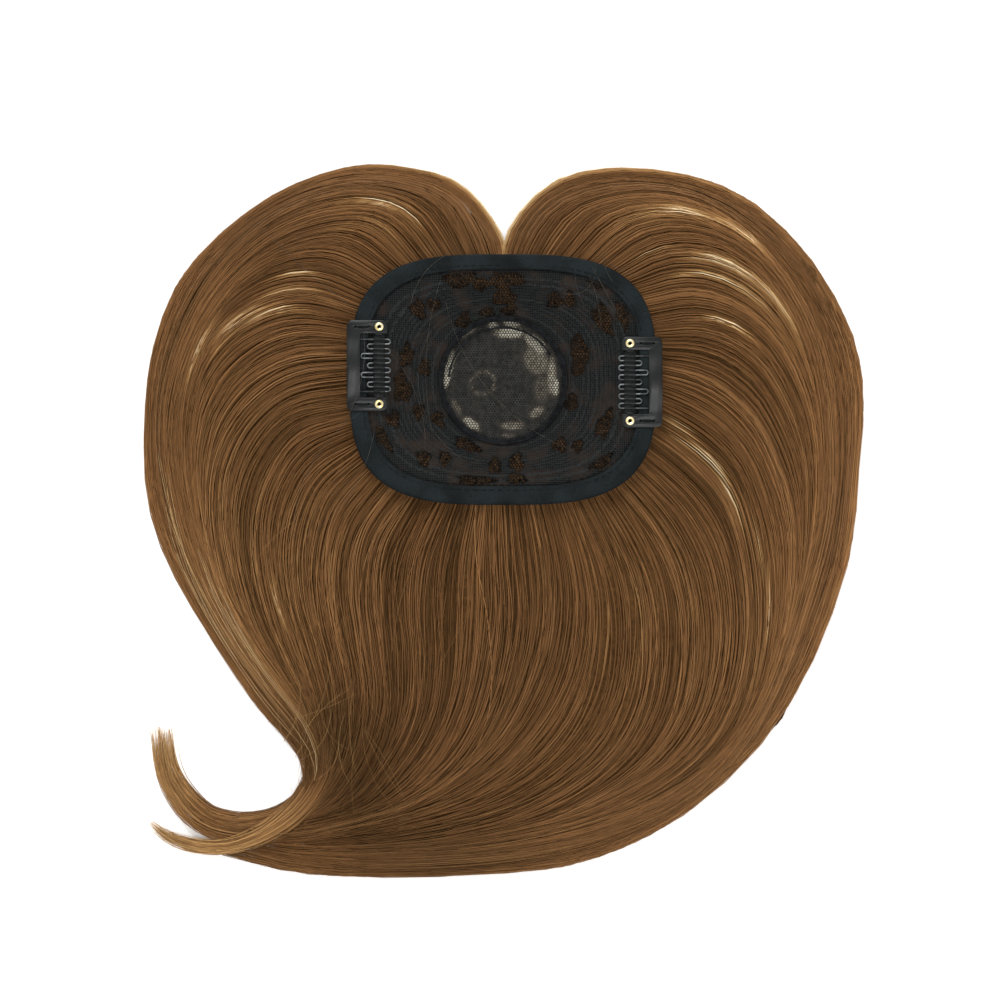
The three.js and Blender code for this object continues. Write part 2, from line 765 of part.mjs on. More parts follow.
const clipLevel = bindingTop + bindingPillow + METAL_GAP + PLATE_WALL / 2;
for (const { side, along, turn } of CLIPS) {
  const clip = new THREE.Group();
  const outward = turn === 0 ? -1 : 1;
  const edge = Math.min(clipEdge(along, 1), clipEdge(along, -1));
  clip.position.set(outward * edge, along, clipLevel);
  clip.rotation.z = turn;
  place(clip, `clip_plate_${side}`, clipPlate(), blackLacquer);
  const wire = place(clip, `comb_wire_${side}`, combWire(), blackWire);
  wire.position.set(EYELET_INSET, 0, hingeLevel);
  const sleeve = place(clip, `comb_sleeve_${side}`, combSleeve(), blackRubber);
  sleeve.position.set(EYELET_INSET, 0, hingeLevel);
  for (const end of [1, -1]) {
    const which = end * -outward > 0 ? 'front' : 'back';
    const rivet = place(clip, `eyelet_${side}_${which}`, eyelet(), brass);
    rivet.position.set(EYELET_INSET, end * armCentre, 0);
    const strap = place(clip, `strap_end_${side}_${which}`, strapEnd(), blackLacquer);
    strap.position.set(EYELET_INSET, end * armCentre, 0);
    strap.rotation.z = end > 0 ? 0 : Math.PI;
  }
  topper.add(clip);
}

topper.updateMatrixWorld(true);
const footprint = new THREE.Box3().setFromObject(topper, true).getCenter(new THREE.Vector3());
topper.position.set(-footprint.x, -footprint.y, 0);

export default topper;
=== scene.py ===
# Hair topper, lying inside up on a pale table and seen from straight above.
# Blender gets metres, +Z up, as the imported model. All sizes and tables below are in
# millimetres about the middle of the base, unless a comment says otherwise.

import math

import bpy
import numpy as np
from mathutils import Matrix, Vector
from mathutils.bvhtree import BVHTree


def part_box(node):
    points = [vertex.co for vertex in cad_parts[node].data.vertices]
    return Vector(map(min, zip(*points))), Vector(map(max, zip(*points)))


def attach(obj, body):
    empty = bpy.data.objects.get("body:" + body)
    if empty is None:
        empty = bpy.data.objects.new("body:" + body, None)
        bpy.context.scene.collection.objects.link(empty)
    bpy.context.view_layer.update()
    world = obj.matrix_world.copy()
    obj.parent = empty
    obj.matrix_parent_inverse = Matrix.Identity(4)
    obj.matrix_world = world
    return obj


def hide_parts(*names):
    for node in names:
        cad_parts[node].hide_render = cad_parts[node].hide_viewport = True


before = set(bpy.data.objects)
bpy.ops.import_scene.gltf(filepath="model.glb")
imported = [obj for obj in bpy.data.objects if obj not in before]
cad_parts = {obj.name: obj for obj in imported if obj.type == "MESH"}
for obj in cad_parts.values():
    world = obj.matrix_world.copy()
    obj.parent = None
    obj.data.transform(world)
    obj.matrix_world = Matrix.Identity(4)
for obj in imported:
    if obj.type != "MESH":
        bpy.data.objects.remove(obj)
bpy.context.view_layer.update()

MM = 0.001
FULL_TURN = 2 * math.pi


def box_mm(node):
    """Lowest corner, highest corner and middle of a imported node, in millimetres."""
    low, high = (np.array(corner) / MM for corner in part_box(node))
    return low, high, (low + high) / 2


# What the frame says about the base.
RIM_LOW, RIM_HIGH, RIM_MIDDLE = box_mm("binding")
CENTRE = np.array([RIM_MIDDLE[0], RIM_MIDDLE[1], 0.0])
HALF_WIDTH, HALF_DEPTH = (RIM_HIGH - RIM_LOW)[:2] / 2
BINDING_FOOT = RIM_LOW[2]
BINDING_TOP = RIM_HIGH[2]
LACE_LEVEL = box_mm("lace_cap")[1][2]
CROWN_LOW, CROWN_HIGH, _ = box_mm("crown_net")
CROWN_RADIUS = (CROWN_HIGH - CROWN_LOW)[0] / 2
CROWN_LEVEL = CROWN_HIGH[2]
PATCH_LOW, PATCH_HIGH, _ = box_mm("scalp_patch")
PATCH_LEVEL = PATCH_HIGH[2]
PATCH_RADIUS = (PATCH_HIGH - PATCH_LOW)[0] / 2
BASE_SQUARENESS = 3.2
BINDING_WIDTH = 6.5
LACE_HEM = CROWN_RADIUS + 0.3
CROWN_SAG = 1.5
SEAM_RADIUS = CROWN_RADIUS + 0.3

# Lace
LACE_ACROSS = 280
LACE_ROWS = 44
LACE_WALL = 0.22
RIDGE_SHARES = (0.14, 0.40, 0.70)
RIDGE_HEIGHT = 0.3
RIDGE_BREADTH = 0.035
NET_PITCH = 1.1
NET_THREAD = 0.19
CROWN_PITCH = 1.0
CROWN_THREAD = 0.16
HEM_INSET = 1.2

# Tape, seams and the film under the crown's net
TAPE_STEPS = 200
TAPE_WALL = 0.8
OVERCAST_TURNS = 130
FILM_WALL = 0.6
FILM_ACROSS = 150
FILM_RINGS = 40
SEAM_BEAD = ((-0.9, 0.35), (-0.8, 0.75), (-0.5, 0.95), (-0.2, 0.8), (0.0, 0.7), (0.2, 0.8),
             (0.5, 0.95), (0.8, 0.8), (0.9, 0.45), (0.4, 0.3), (-0.4, 0.3), (-0.9, 0.35))

# The open windows of the lace's pattern: middle, half sizes, and turn in degrees.
WINDOWS = [
    (-15.3, 36.1, 4.6, 2.6, 8), (-7.6, 34.3, 2.8, 2, 0), (1.6, 36.1, 5.2, 2.8, 0),
    (.8, 29.9, 3.6, 2.6, 0), (-5.2, 24.4, 2.4, 1.4, 0), (2.6, 25, 2.4, 1.7, 0),
    (-30.1, 25.5, 2.2, 3, 20), (-24.5, 27.1, 2.2, 1.8, 0), (-14, 21.8, 2, 2.8, -40),
    (18.9, 28.3, 2.4, 2.4, 0), (24.5, 28.7, 1.6, 2.8, 0), (33.3, 35.1, 3.6, 1.6, -35),
    (36.2, 21.1, 2.6, 5, 25), (43.2, 22.3, 1.8, 4.6, 15), (27.4, 8.6, 2.6, 6.4, 0),
    (24.6, -8.3, 1.9, 2.6, -15), (36.2, -16.3, 2.2, 4.6, -25), (20.1, -23.5, 2.4, 2.2, 0),
    (26.5, -23.9, 1.6, 2, 0), (35, -30, 4, 1.6, 30), (-10.4, -36.2, 5.6, 1.7, 0),
    (4.4, -35.6, 3, 1.8, 0), (-3.2, -30.8, 2, 2.4, 0), (4.4, -29.6, 2.2, 2.8, 0),
    (-43, -20.7, 1.5, 4.6, 30), (-28.9, -27.9, 2.2, 2.4, 0), (-21.3, -27.9, 1.8, 2.2, 0),
    (-34.6, 9, 2, 3.6, -10), (-36.2, -2.4, 2.6, 4.8, 8), (-28.2, 4.6, 1.7, 2.8, 0),
    (-39.4, -13.5, 2.2, 2.4, 0), (-23.6, -13.6, 1.8, 2.6, 25), (-30.4, -11, 1.8, 2.4, 0),
    (-13.2, -23.2, 4.2, 1.9, -25),
]

# The clean places of the cream film under the crown's net, given the same way, with how
# clean each is from 0 to 1.
CREAM_SPOTS = [
    (2.6, 17.2, 5.6, 2, 0, 1), (-3.6, 19.9, 1.9, 1.3, 12, 1), (3.2, 20.4, 3.2, 1.2, 0, 1),
    (-12.4, 17.2, 4.4, 1.1, 36, .55), (12, 13.2, 5.4, 2.4, -40, .85), (12, 7, 6, 4.6, -50, .58),
    (17.6, 1.6, 1.8, 7.6, 0, .7), (14, -3, 3, 5.5, 0, .42), (19.2, -2.6, 1, 3.2, 0, 1),
    (12.2, -11.4, 3.2, 1.8, 35, .6), (3.4, -16.4, 4.6, 1.7, 0, .6),
    (-11.4, -15.6, 3.6, 1.7, -35, .85), (-16.8, -9.6, 1.3, 3.4, 30, .5),
    (-19.9, 3.2, 1.6, 7.6, -14, 1), (-17.2, 8.6, 1, 3, -30, .4), (2, -19.8, 2.6, .9, 0, .5),
]

INNER_SEAM = 19.6
STAIN_MIDDLE = (-0.2, -0.9)

# Snap comb clips, in the clip's own frame: X from the outer edge inwards, Y along it.
PLATE_LENGTH = 32.2
PLATE_DEPTH = 14.3
PLATE_WALL = 0.5
PLATE_BOW = 1.2
PLATE_CORNER = 2.0
ARM_WIDTH = 4.45
BAR_WIDTH = 4.6
EYELET_INSET = 11.5
EYELET_RADIUS = 1.55
EYELET_BORE = 0.62
SEWING_INSETS = (3.0, 7.6)
SEWING_HOLE = 0.55
WIRE_RADIUS = 0.33
WIRE_RUNS = 12
WIRE_PITCH = 1.7
LONG_TOOTH = 6.5
SHORT_TOOTH = 4.2
LOOP_REACH = 4.0
SLEEVE_WIDTH = 4.2
SLEEVE_END = 10.75
SLEEVE_WALL = 1.5
ARM_CENTRE = PLATE_LENGTH / 2 - EYELET_RADIUS - (ARM_WIDTH - 2 * EYELET_RADIUS) / 2
WINDOW_END = PLATE_LENGTH / 2 - ARM_WIDTH
BOW_SPANS = 24
CLIP_MIDDLE = 48
CLIP_HALF_SIZES = (9, 24)

# Hair
HAIR_SIDE = 130
HAIR_LENGTH = 180
ROOT_INSET = 4.5
FIBRES = 3000
FIBRE_STATIONS = 36
HOOK_STATIONS = 28
FIBRE_WIDTH = 0.32
CLUMPS = 260
LAYERS_DEPTH = 1.8
EDGE_SPREAD = 2.3
GATHERING = 0.6
STRAYED_SHARE = 0.10
STRAY_STATIONS = 16
FIELD_REACH = 150
FIELD_BACK = -210
FIELD_FRONT = 110
UNDERLAY_VOXEL = 2.4
UNDERLAY_SINK = 2.0
HOOK_CUT = (-0.56 * HAIR_SIDE, -0.93 * HAIR_LENGTH)
FAN_PIECES = ("hair_right_lobe", "hair_right_sweep", "hair_back_sweep", "hair_side_sweep",
              "hair_left_lobe")

# Loose hairs in groups. A group starts at places of the fan and shares of its length, or
# anywhere in a range of X and Y with a heading in radians. Those given a lighter blond tone lie
# on the hair, and the others are shed hairs on the base.
STRAYS = [
    {"count": 90, "place": (0.4, 21.4), "share": (0.08, 0.7), "drift": 0.22,
     "gold_and_painted_highlight": (0.0, 0.3), "width": 0.16},
    {"count": 26, "place": (16.5, 21.3), "share": (0.55, 0.72), "drift": 1.1,
     "gold_and_painted_highlight": (0.35, 0.75), "width": 0.16},
    {"count": 28, "x": (-80, -46), "y": (-130, -92), "heading": (3.6, 5.4),
     "length": (20, 40), "gold_and_painted_highlight": (0.15, 0.55), "width": 0.10},
    {"count": 7, "x": (-52, -30), "y": (-34, 38), "heading": (0, 6.2),
     "length": (25, 60), "width": 0.10},
    {"count": 3, "x": (-30, -20), "y": (20, 40), "heading": (3.9, 5.2),
     "length": (40, 80), "width": 0.10},
    {"count": 6, "x": (22, 38), "y": (34, 48), "heading": (4.5, 5.4),
     "length": (12, 24), "width": 0.10},
]

# The combed fan of hair, as guides round the base from one side of the parting to the
# other: bearing of the root in degrees, and the points that the guide passes, as shares
# of HAIR_SIDE and HAIR_LENGTH.
FAN = [
    (91.5, [
        (.002, .27), (.009, .29), (.025, .315), (.044, .337), (.074, .358), (.103, .377),
        (.142, .396), (.192, .408), (.241, .414), (.3, .418), (.47, .409), (.64, .371),
        (.785, .289), (.89, .19), (.967, .075), (.99, -.044), (.975, -.183), (.96, -.317),
        (.912, -.442), (.847, -.561), (.759, -.672), (.642, -.773), (.502, -.86), (.345, -.924),
        (.17, -.966), (-.03, -.98), (-.25, -.985), (-.45, -.984), (-.6, -.974), (-.7, -.957),
        (-.78, -.94)]),
    (78, [
        (.15, .33), (.29, .375), (.45, .38), (.59, .35), (.72, .28), (.82, .19), (.89, .09),
        (.93, -.02), (.94, -.13), (.93, -.24), (.905, -.35), (.86, -.46), (.81, -.56),
        (.745, -.66), (.66, -.752), (.53, -.835), (.37, -.905), (.17, -.952), (-.05, -.974),
        (-.27, -.982), (-.49, -.976), (-.65, -.956), (-.76, -.938)]),
    (62, [
        (.29, .32), (.43, .345), (.58, .325), (.71, .265), (.8, .18), (.865, .08), (.9, -.03),
        (.91, -.14), (.905, -.25), (.875, -.36), (.83, -.46), (.785, -.57), (.725, -.67),
        (.64, -.762), (.52, -.84), (.36, -.9), (.16, -.945), (-.06, -.968), (-.28, -.978),
        (-.5, -.972), (-.67, -.95)]),
    (48, [
        (.41, .28), (.56, .285), (.69, .24), (.79, .155), (.855, .055), (.885, -.05),
        (.895, -.16), (.885, -.27), (.85, -.37), (.81, -.48), (.765, -.58), (.7, -.685),
        (.61, -.78), (.48, -.856), (.32, -.91), (.12, -.948), (-.1, -.966), (-.32, -.972),
        (-.54, -.964), (-.7, -.943)]),
    (35, [
        (.51, .2), (.655, .17), (.765, .1), (.835, 0), (.87, -.1), (.875, -.21), (.86, -.32),
        (.82, -.43), (.78, -.54), (.725, -.645), (.64, -.752), (.52, -.835), (.37, -.895),
        (.17, -.938), (-.05, -.958), (-.27, -.967), (-.49, -.963), (-.67, -.943)]),
    (20, [
        (.56, .11), (.7, .06), (.785, -.03), (.835, -.13), (.85, -.24), (.84, -.35), (.81, -.46),
        (.765, -.56), (.7, -.67), (.6, -.772), (.46, -.85), (.29, -.905), (.09, -.942),
        (-.13, -.958), (-.35, -.965), (-.55, -.958), (-.7, -.94)]),
    (5, [
        (.56, -.01), (.68, -.08), (.755, -.18), (.795, -.28), (.8, -.39), (.78, -.5),
        (.735, -.61), (.66, -.71), (.54, -.798), (.39, -.865), (.2, -.914), (-.01, -.942),
        (-.22, -.955), (-.42, -.957), (-.58, -.952), (-.7, -.938)]),
    (-12, [
        (.54, -.13), (.64, -.21), (.69, -.32), (.71, -.43), (.705, -.54), (.67, -.65),
        (.59, -.745), (.46, -.82), (.29, -.876), (.09, -.915), (-.12, -.937), (-.33, -.948),
        (-.52, -.95), (-.68, -.94)]),
    (-30, [
        (.49, -.24), (.57, -.33), (.61, -.44), (.612, -.55), (.575, -.66), (.49, -.752),
        (.355, -.822), (.19, -.876), (0, -.91), (-.2, -.93), (-.4, -.943), (-.57, -.945),
        (-.7, -.935)]),
    (-50, [
        (.34, -.33), (.39, -.43), (.4, -.54), (.378, -.65), (.312, -.742), (.195, -.818),
        (.05, -.872), (-.12, -.906), (-.3, -.927), (-.48, -.936), (-.63, -.935), (-.72, -.93)]),
    (-70, [
        (.16, -.36), (.17, -.47), (.142, -.58), (.076, -.678), (-.02, -.76), (-.15, -.825),
        (-.3, -.87), (-.45, -.9), (-.59, -.92), (-.7, -.92)]),
    (-90, [
        (.01, -.36), (.02, -.47), (0, -.58), (-.045, -.685), (-.13, -.775), (-.25, -.84),
        (-.4, -.88), (-.55, -.905), (-.68, -.91)]),
    (-110, [
        (-.17, -.35), (-.185, -.46), (-.185, -.57), (-.21, -.68), (-.28, -.775), (-.38, -.85),
        (-.51, -.885), (-.65, -.905)]),
    (-130, [
        (-.34, -.32), (-.365, -.43), (-.35, -.54), (-.34, -.65), (-.38, -.755), (-.46, -.84),
        (-.57, -.885), (-.68, -.9)]),
    (-150, [
        (-.48, -.24), (-.525, -.35), (-.515, -.46), (-.48, -.56), (-.455, -.665), (-.475, -.77),
        (-.54, -.85), (-.65, -.89)]),
    (-170, [
        (-.57, -.08), (-.67, -.16), (-.715, -.26), (-.71, -.37), (-.67, -.48), (-.605, -.58),
        (-.535, -.67), (-.505, -.765), (-.555, -.85), (-.64, -.88)]),
    (-190, [
        (-.57, .04), (-.7, -.01), (-.785, -.09), (-.82, -.19), (-.815, -.3), (-.78, -.41),
        (-.715, -.5), (-.635, -.59), (-.56, -.67), (-.51, -.765), (-.55, -.845)]),
    (-205, [
        (-.55, .16), (-.69, .135), (-.8, .07), (-.86, -.02), (-.88, -.13), (-.865, -.24),
        (-.825, -.35), (-.77, -.45), (-.7, -.54), (-.62, -.62), (-.55, -.69), (-.515, -.77),
        (-.545, -.845)]),
    (-220, [
        (-.47, .25), (-.62, .24), (-.74, .185), (-.83, .1), (-.885, 0), (-.905, -.11),
        (-.89, -.22), (-.85, -.33), (-.8, -.43), (-.73, -.52), (-.645, -.61), (-.565, -.69),
        (-.52, -.77), (-.545, -.84)]),
    (-233, [
        (-.36, .31), (-.51, .31), (-.65, .27), (-.765, .2), (-.855, .105), (-.91, 0),
        (-.93, -.11), (-.91, -.22), (-.87, -.33), (-.82, -.43), (-.745, -.53), (-.66, -.62),
        (-.575, -.7), (-.523, -.775), (-.545, -.838)]),
    (-248, [
        (-.24, .34), (-.38, .375), (-.53, .36), (-.67, .31), (-.79, .225), (-.88, .12),
        (-.935, .01), (-.955, -.11), (-.935, -.22), (-.89, -.34), (-.83, -.445), (-.755, -.54),
        (-.665, -.63), (-.585, -.705), (-.525, -.78), (-.543, -.836)]),
    (-260, [
        (-.14, .35), (-.26, .395), (-.41, .405), (-.56, .38), (-.7, .325), (-.82, .245),
        (-.905, .145), (-.96, .02), (-.972, -.1), (-.96, -.22), (-.915, -.34), (-.845, -.445),
        (-.76, -.545), (-.668, -.64), (-.588, -.71), (-.527, -.783), (-.542, -.835)]),
    (-271.5, [
        (.005, .272), (-.008, .297), (-.035, .324), (-.059, .347), (-.089, .368), (-.128, .389),
        (-.172, .402), (-.24, .414), (-.38, .424), (-.53, .398), (-.67, .348), (-.81, .265),
        (-.905, .175), (-.967, .04), (-.983, -.1), (-.976, -.225), (-.934, -.335), (-.856, -.445),
        (-.764, -.55), (-.667, -.652), (-.593, -.711), (-.556, -.739), (-.528, -.785),
        (-.54, -.835)]),
]

# The locks that curl back to the left in a hook, given the same way, with their breadth
# in millimetres at even steps along them.
HOOKS = [
    {"fibres": 250, "breadth": [5, 8, 9, 9.5, 10.5, 10.5, 10, 8.2, 7.4],
     "by": [(-.60, -.62), (-.55, -.70), (-.517, -.765), (-.527, -.822), (-.585, -.870),
            (-.66, -.896), (-.75, -.901), (-.84, -.879), (-.909, -.826), (-.943, -.769),
            (-.955, -.697)]},
    {"fibres": 170, "breadth": [5, 8, 9.5, 9.5, 8.5, 6.5, 5, 4.2, 1.8],
     "by": [(-.43, -.60), (-.46, -.68), (-.49, -.745), (-.515, -.80), (-.555, -.847),
            (-.615, -.888), (-.69, -.920), (-.775, -.939), (-.86, -.938), (-.935, -.919),
            (-.986, -.892)]},
]

# Where the hair lies in the shade of other locks: middle, radius and depth from 0 to 1.
SHADES = [
    (-60, -126, 17, .7), (-52, -150, 16, .35), (0, -160, 45, .12), (-45, -168, 15, .45),
    (-20, -171, 15, .45), (5, -173, 12, .25), (-84, 47, 17, .3), (-124, -8, 30, .25),
]

# Painted highlights: where the hair's colour is painted lighter, in warm pale streaks where it
# catches the light and in a few broad pools of painted light: middle, half length along the
# hair, half breadth and strength.
PAINTED_HIGHLIGHTS = [
    (65.5, 61.2, 10, 1.7, .9), (79.2, 43, 13, 1.8, 1.1), (75.5, 38.4, 12, 1.1, 1),
    (93.6, 34.6, 9, 1.6, .5), (88, 33, 9, 1, .6), (103, 23, 11, 1.4, .4), (53.6, 46.8, 9, .9, .6),
    (87, 53.4, 9, 1.3, .8), (81, 20.9, 9, 1.1, .8), (47, 57.5, 16, 5, .3), (98, 22, 20, 4, .12),
    (-36.4, 62.3, 12, 1.5, .9), (-48, 65, 11, 1.2, .6), (-45, 56, 16, 3, .35),
    (-74, 38.5, 9, 1.3, .7), (-76.7, 33.1, 15, 2, .5), (-94.7, 22, 16, 2.2, .6),
    (-82, 25.5, 12, 1.2, .6), (-110, 11, 12, 1.6, .6), (75.2, -29.5, 16, 1.5, .85),
    (64, -17, 8, 1.4, .8), (84, -46, 10, 1.2, .4), (91.5, -57, 10, 1, .45),
    (97.6, -65, 9, .8, .6), (-81.4, -81, 8, .8, .5), (-74, -66, 10, .7, .25),
    (50.8, -86.4, 22, 1.2, .4), (38, -95, 20, 1, .45), (96.1, -82.8, 18, 1, .5),
    (-62, -70, 20, 1, .25), (-86, -72, 50, 30, .17), (-99, -14, 34, 20, .13),
    (82, -104, 40, 26, .12), (17, -126, 30, 26, .09),
]

rng = np.random.default_rng(7)


# Colours and materials

def srgb(hex_code):
    """Linear RGBA of an sRGB hex value."""
    parts = [int(hex_code[i:i + 2], 16) / 255 for i in (1, 3, 5)]
    return [((v + 0.055) / 1.055) ** 2.4 if v > 0.04045 else v / 12.92 for v in parts] + [1.0]


def new_material(name):
    material = bpy.data.materials.new(name)
    material.use_nodes = True
    material.node_tree.nodes.clear()
    return material


def add(material, kind, links=None, **settings):
    """Adds a node; settings name its properties or inputs, links give inputs their sources."""
    tree = material.node_tree
    node = tree.nodes.new(kind)
    for key, value in settings.items():
        if hasattr(node, key):
            setattr(node, key, value)
        else:
            node.inputs[key.replace("_", " ")].default_value = value
    for key, source in (links or {}).items():
        tree.links.new(source, node.inputs[key])
    return node


def ramp(material, factor, stops):
    """A colour ramp over a factor; stops are (position, sRGB hex)."""
    node = add(material, "ShaderNodeValToRGB", {"Fac": factor})
    elements = node.color_ramp.elements
    while len(elements) < len(stops):
        elements.new(1.0)
    for element, (position, hex_code) in zip(elements, stops):
        element.position = position
        element.color = srgb(hex_code)
    return node.outputs["Color"]


def finish_material(material, links=None, **surface):
    """Adds the surface shader, from its inputs' sources and settings, and the output."""
    bsdf = add(material, "ShaderNodeBsdfPrincipled", links, **surface)
    add(material, "ShaderNodeOutputMaterial", {"Surface": bsdf.outputs["BSDF"]})
    return material


def object_noise(material, scale, detail):
    """Noise over the piece's own coordinates, in metres."""
    place = add(material, "ShaderNodeTexCoord")
    return add(material, "ShaderNodeTexNoise", {"Vector": place.outputs["Object"]},
               Scale=scale, Detail=detail)


def mottled(name, scale, detail, stops, **surface):
    """A material whose colour drifts softly between the stops of a ramp."""
    material = new_material(name)
    noise = object_noise(material, scale, detail)
    colour = ramp(material, noise.outputs["Fac"], stops)
    return finish_material(material, {"Base Color": colour}, **surface)


# Meshes from arrays

def link_object(name, data):
    piece = bpy.data.objects.new(name, data)
    bpy.context.collection.objects.link(piece)
    return piece


def raised(plan, heights):
    """Plan points with their heights, as points in space."""
    return np.concatenate([plan, heights[..., None]], axis=-1)


def array_mesh(name, points_mm, faces):
    """A mesh object from points in millimetres about the base and faces of one size each."""
    mesh = bpy.data.meshes.new(name)
    points = (np.asarray(points_mm) + CENTRE) * MM
    mesh.vertices.add(len(points))
    mesh.vertices.foreach_set("co", points.astype(np.float32).ravel())
    loops = np.concatenate([np.asarray(part).ravel() for part in faces])
    counts = np.concatenate([np.full(len(part), np.shape(part)[1]) for part in faces])
    mesh.loops.add(len(loops))
    mesh.loops.foreach_set("vertex_index", loops.astype(np.int32))
    mesh.polygons.add(len(counts))
    starts = np.concatenate([[0], np.cumsum(counts)[:-1]])
    mesh.polygons.foreach_set("loop_start", starts.astype(np.int32))
    mesh.update(calc_edges=True)
    mesh.polygons.foreach_set("use_smooth", np.ones(len(counts), dtype=bool))
    return link_object(name, mesh)


def paint(piece, name, colours):
    """Stores four numbers for each point as a colour attribute."""
    layer = piece.data.attributes.new(name, "FLOAT_COLOR", "POINT")
    layer.data.foreach_set("color", np.asarray(colours, dtype=np.float32).ravel())


def dress(piece, material, body="topper"):
    piece.data.materials.clear()
    piece.data.materials.append(material)
    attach(piece, body)
    return piece


def mesh_points(piece):
    points = np.empty(len(piece.data.vertices) * 3)
    piece.data.vertices.foreach_get("co", points)
    return points.reshape(-1, 3)


def set_mesh_points(piece, points):
    piece.data.vertices.foreach_set("co", points.ravel())
    piece.data.update()


def ring_quads(rings, across):
    """Faces between closed rings of points that follow one another."""
    here = np.arange(rings - 1)[:, None] * across + np.arange(across)
    beside = np.roll(here, -1, axis=1)
    return np.stack([here, here + across, beside + across, beside], axis=-1)


def tubes(name, paths, radii, sides=3):
    """Closed round tubes along paths, (tubes, stations, 3); radii is one number or one each."""
    count, stations, _ = paths.shape
    radii = np.broadcast_to(radii, (count, stations))
    along = np.gradient(paths, axis=1)
    along /= np.linalg.norm(along, axis=2, keepdims=True) + 1e-9
    across = np.cross(along, [0.0, 0.0, 1.0])
    across /= np.linalg.norm(across, axis=2, keepdims=True) + 1e-9
    up = np.cross(across, along)
    angles = math.pi / 2 + FULL_TURN * np.arange(sides) / sides
    ring = (np.cos(angles)[:, None] * across[:, :, None, :]
            + np.sin(angles)[:, None] * up[:, :, None, :])
    points = paths[:, :, None, :] + ring * radii[:, :, None, None]
    first = (np.arange(count) * stations * sides)[:, None, None]
    here = first + (np.arange(stations - 1) * sides)[None, :, None] + np.arange(sides)
    turn = np.roll(np.arange(sides), -1) - np.arange(sides)
    quads = np.stack([here, here + turn, here + turn + sides, here + sides], axis=-1)
    ends = np.arange(count)[:, None] * stations * sides + np.arange(sides)
    last = ends + (stations - 1) * sides
    return array_mesh(name, points.reshape(-1, 3),
                      [quads.reshape(-1, 4)[:, ::-1], ends, last[:, ::-1]])


# Curves

def spread_ends(table):
    """Adds a mirrored row before and after, for the spline's ends."""
    return np.concatenate([[2 * table[0] - table[1]], table, [2 * table[-1] - table[-2]]])


def spline_weights(at, count):
    """First index and the four Catmull-Rom weights at a place from 0 to count - 1."""
    first = np.clip(np.floor(at).astype(int), 0, count - 2)
    f = at - first
    weights = np.stack([
        -0.5 * f + f ** 2 - 0.5 * f ** 3,
        1 - 2.5 * f ** 2 + 1.5 * f ** 3,
        0.5 * f + 2 * f ** 2 - 1.5 * f ** 3,
        -0.5 * f ** 2 + 0.5 * f ** 3,
    ], axis=-1)
    return first, weights


def rim_point(bearing, inset):
    """A point of the base's superellipse, in millimetres about its middle."""
    half_width = HALF_WIDTH - inset
    half_depth = HALF_DEPTH - inset
    across = np.abs(np.cos(bearing)) / half_width
    along = np.abs(np.sin(bearing)) / half_depth
    reach = (across ** BASE_SQUARENESS + along ** BASE_SQUARENESS) ** (-1 / BASE_SQUARENESS)
    return np.stack([reach * np.cos(bearing), reach * np.sin(bearing)], axis=-1)


def rim_share(x, y, inset=0.0):
    """Under 1 inside the base's outline, and over 1 outside it."""
    across = np.abs(x / (HALF_WIDTH - inset)) ** BASE_SQUARENESS
    along = np.abs(y / (HALF_DEPTH - inset)) ** BASE_SQUARENESS
    return (across + along) ** (1 / BASE_SQUARENESS)


def way_points(by):
    return np.array(by) * [HAIR_SIDE, HAIR_LENGTH]


def even_way(points, columns):
    """The smooth way through points, as so many points at even distances along it."""
    table = spread_ends(points)
    first, weights = spline_weights(np.linspace(0, len(points) - 1, 400), len(points))
    fine = sum(weights[:, i, None] * table[first + i] for i in range(4))
    run = np.concatenate([[0], np.cumsum(np.linalg.norm(np.diff(fine, axis=0), axis=1))])
    at = np.linspace(0, run[-1], columns)
    return np.stack([np.interp(at, run, fine[:, axis]) for axis in (0, 1)], axis=-1)


def fan_table(inset, columns=40):
    rows = [even_way(np.vstack([rim_point(math.radians(root), inset), way_points(by)]), columns)
            for root, by in FAN]
    table = spread_ends(np.array(rows))
    return np.swapaxes(spread_ends(np.swapaxes(table, 0, 1)), 0, 1)


def fan_points(table, place, share):
    """Plan points of fibres at their places in the fan and shares of their length."""
    rows = table.shape[0] - 2
    ways = table.shape[1] - 2
    row, row_weights = spline_weights(place, rows)
    way, way_weights = spline_weights(share * (ways - 1), ways)
    points = np.zeros(place.shape + (2,))
    for i in range(4):
        for j in range(4):
            weight = row_weights[..., i] * way_weights[..., j]
            points += weight[..., None] * table[row + i, way + j]
    return points


def wander(count, stations, waves):
    """Smooth random swings along each fibre, about one at most."""
    share = np.linspace(0, 1, stations)
    total = np.zeros((count, stations))
    for wave in waves:
        phase = rng.uniform(0, FULL_TURN, (count, 1))
        size = rng.normal(0, 1 / math.sqrt(len(waves)), (count, 1))
        total += size * np.sin(FULL_TURN * wave * share + phase)
    return total


def sideways(points):
    """Unit vectors to the right of plan paths."""
    along = np.gradient(points, axis=1)
    along /= np.linalg.norm(along, axis=2, keepdims=True) + 1e-9
    return np.stack([along[..., 1], -along[..., 0]], axis=-1)


# Camera, floor and lights

PHOTO_WIDTH = 360
PHOTO_MIDDLE = (-1.26, 8.26)
CAMERA_HEIGHT = 1.5  # metres
HAIR_LEVEL = 15


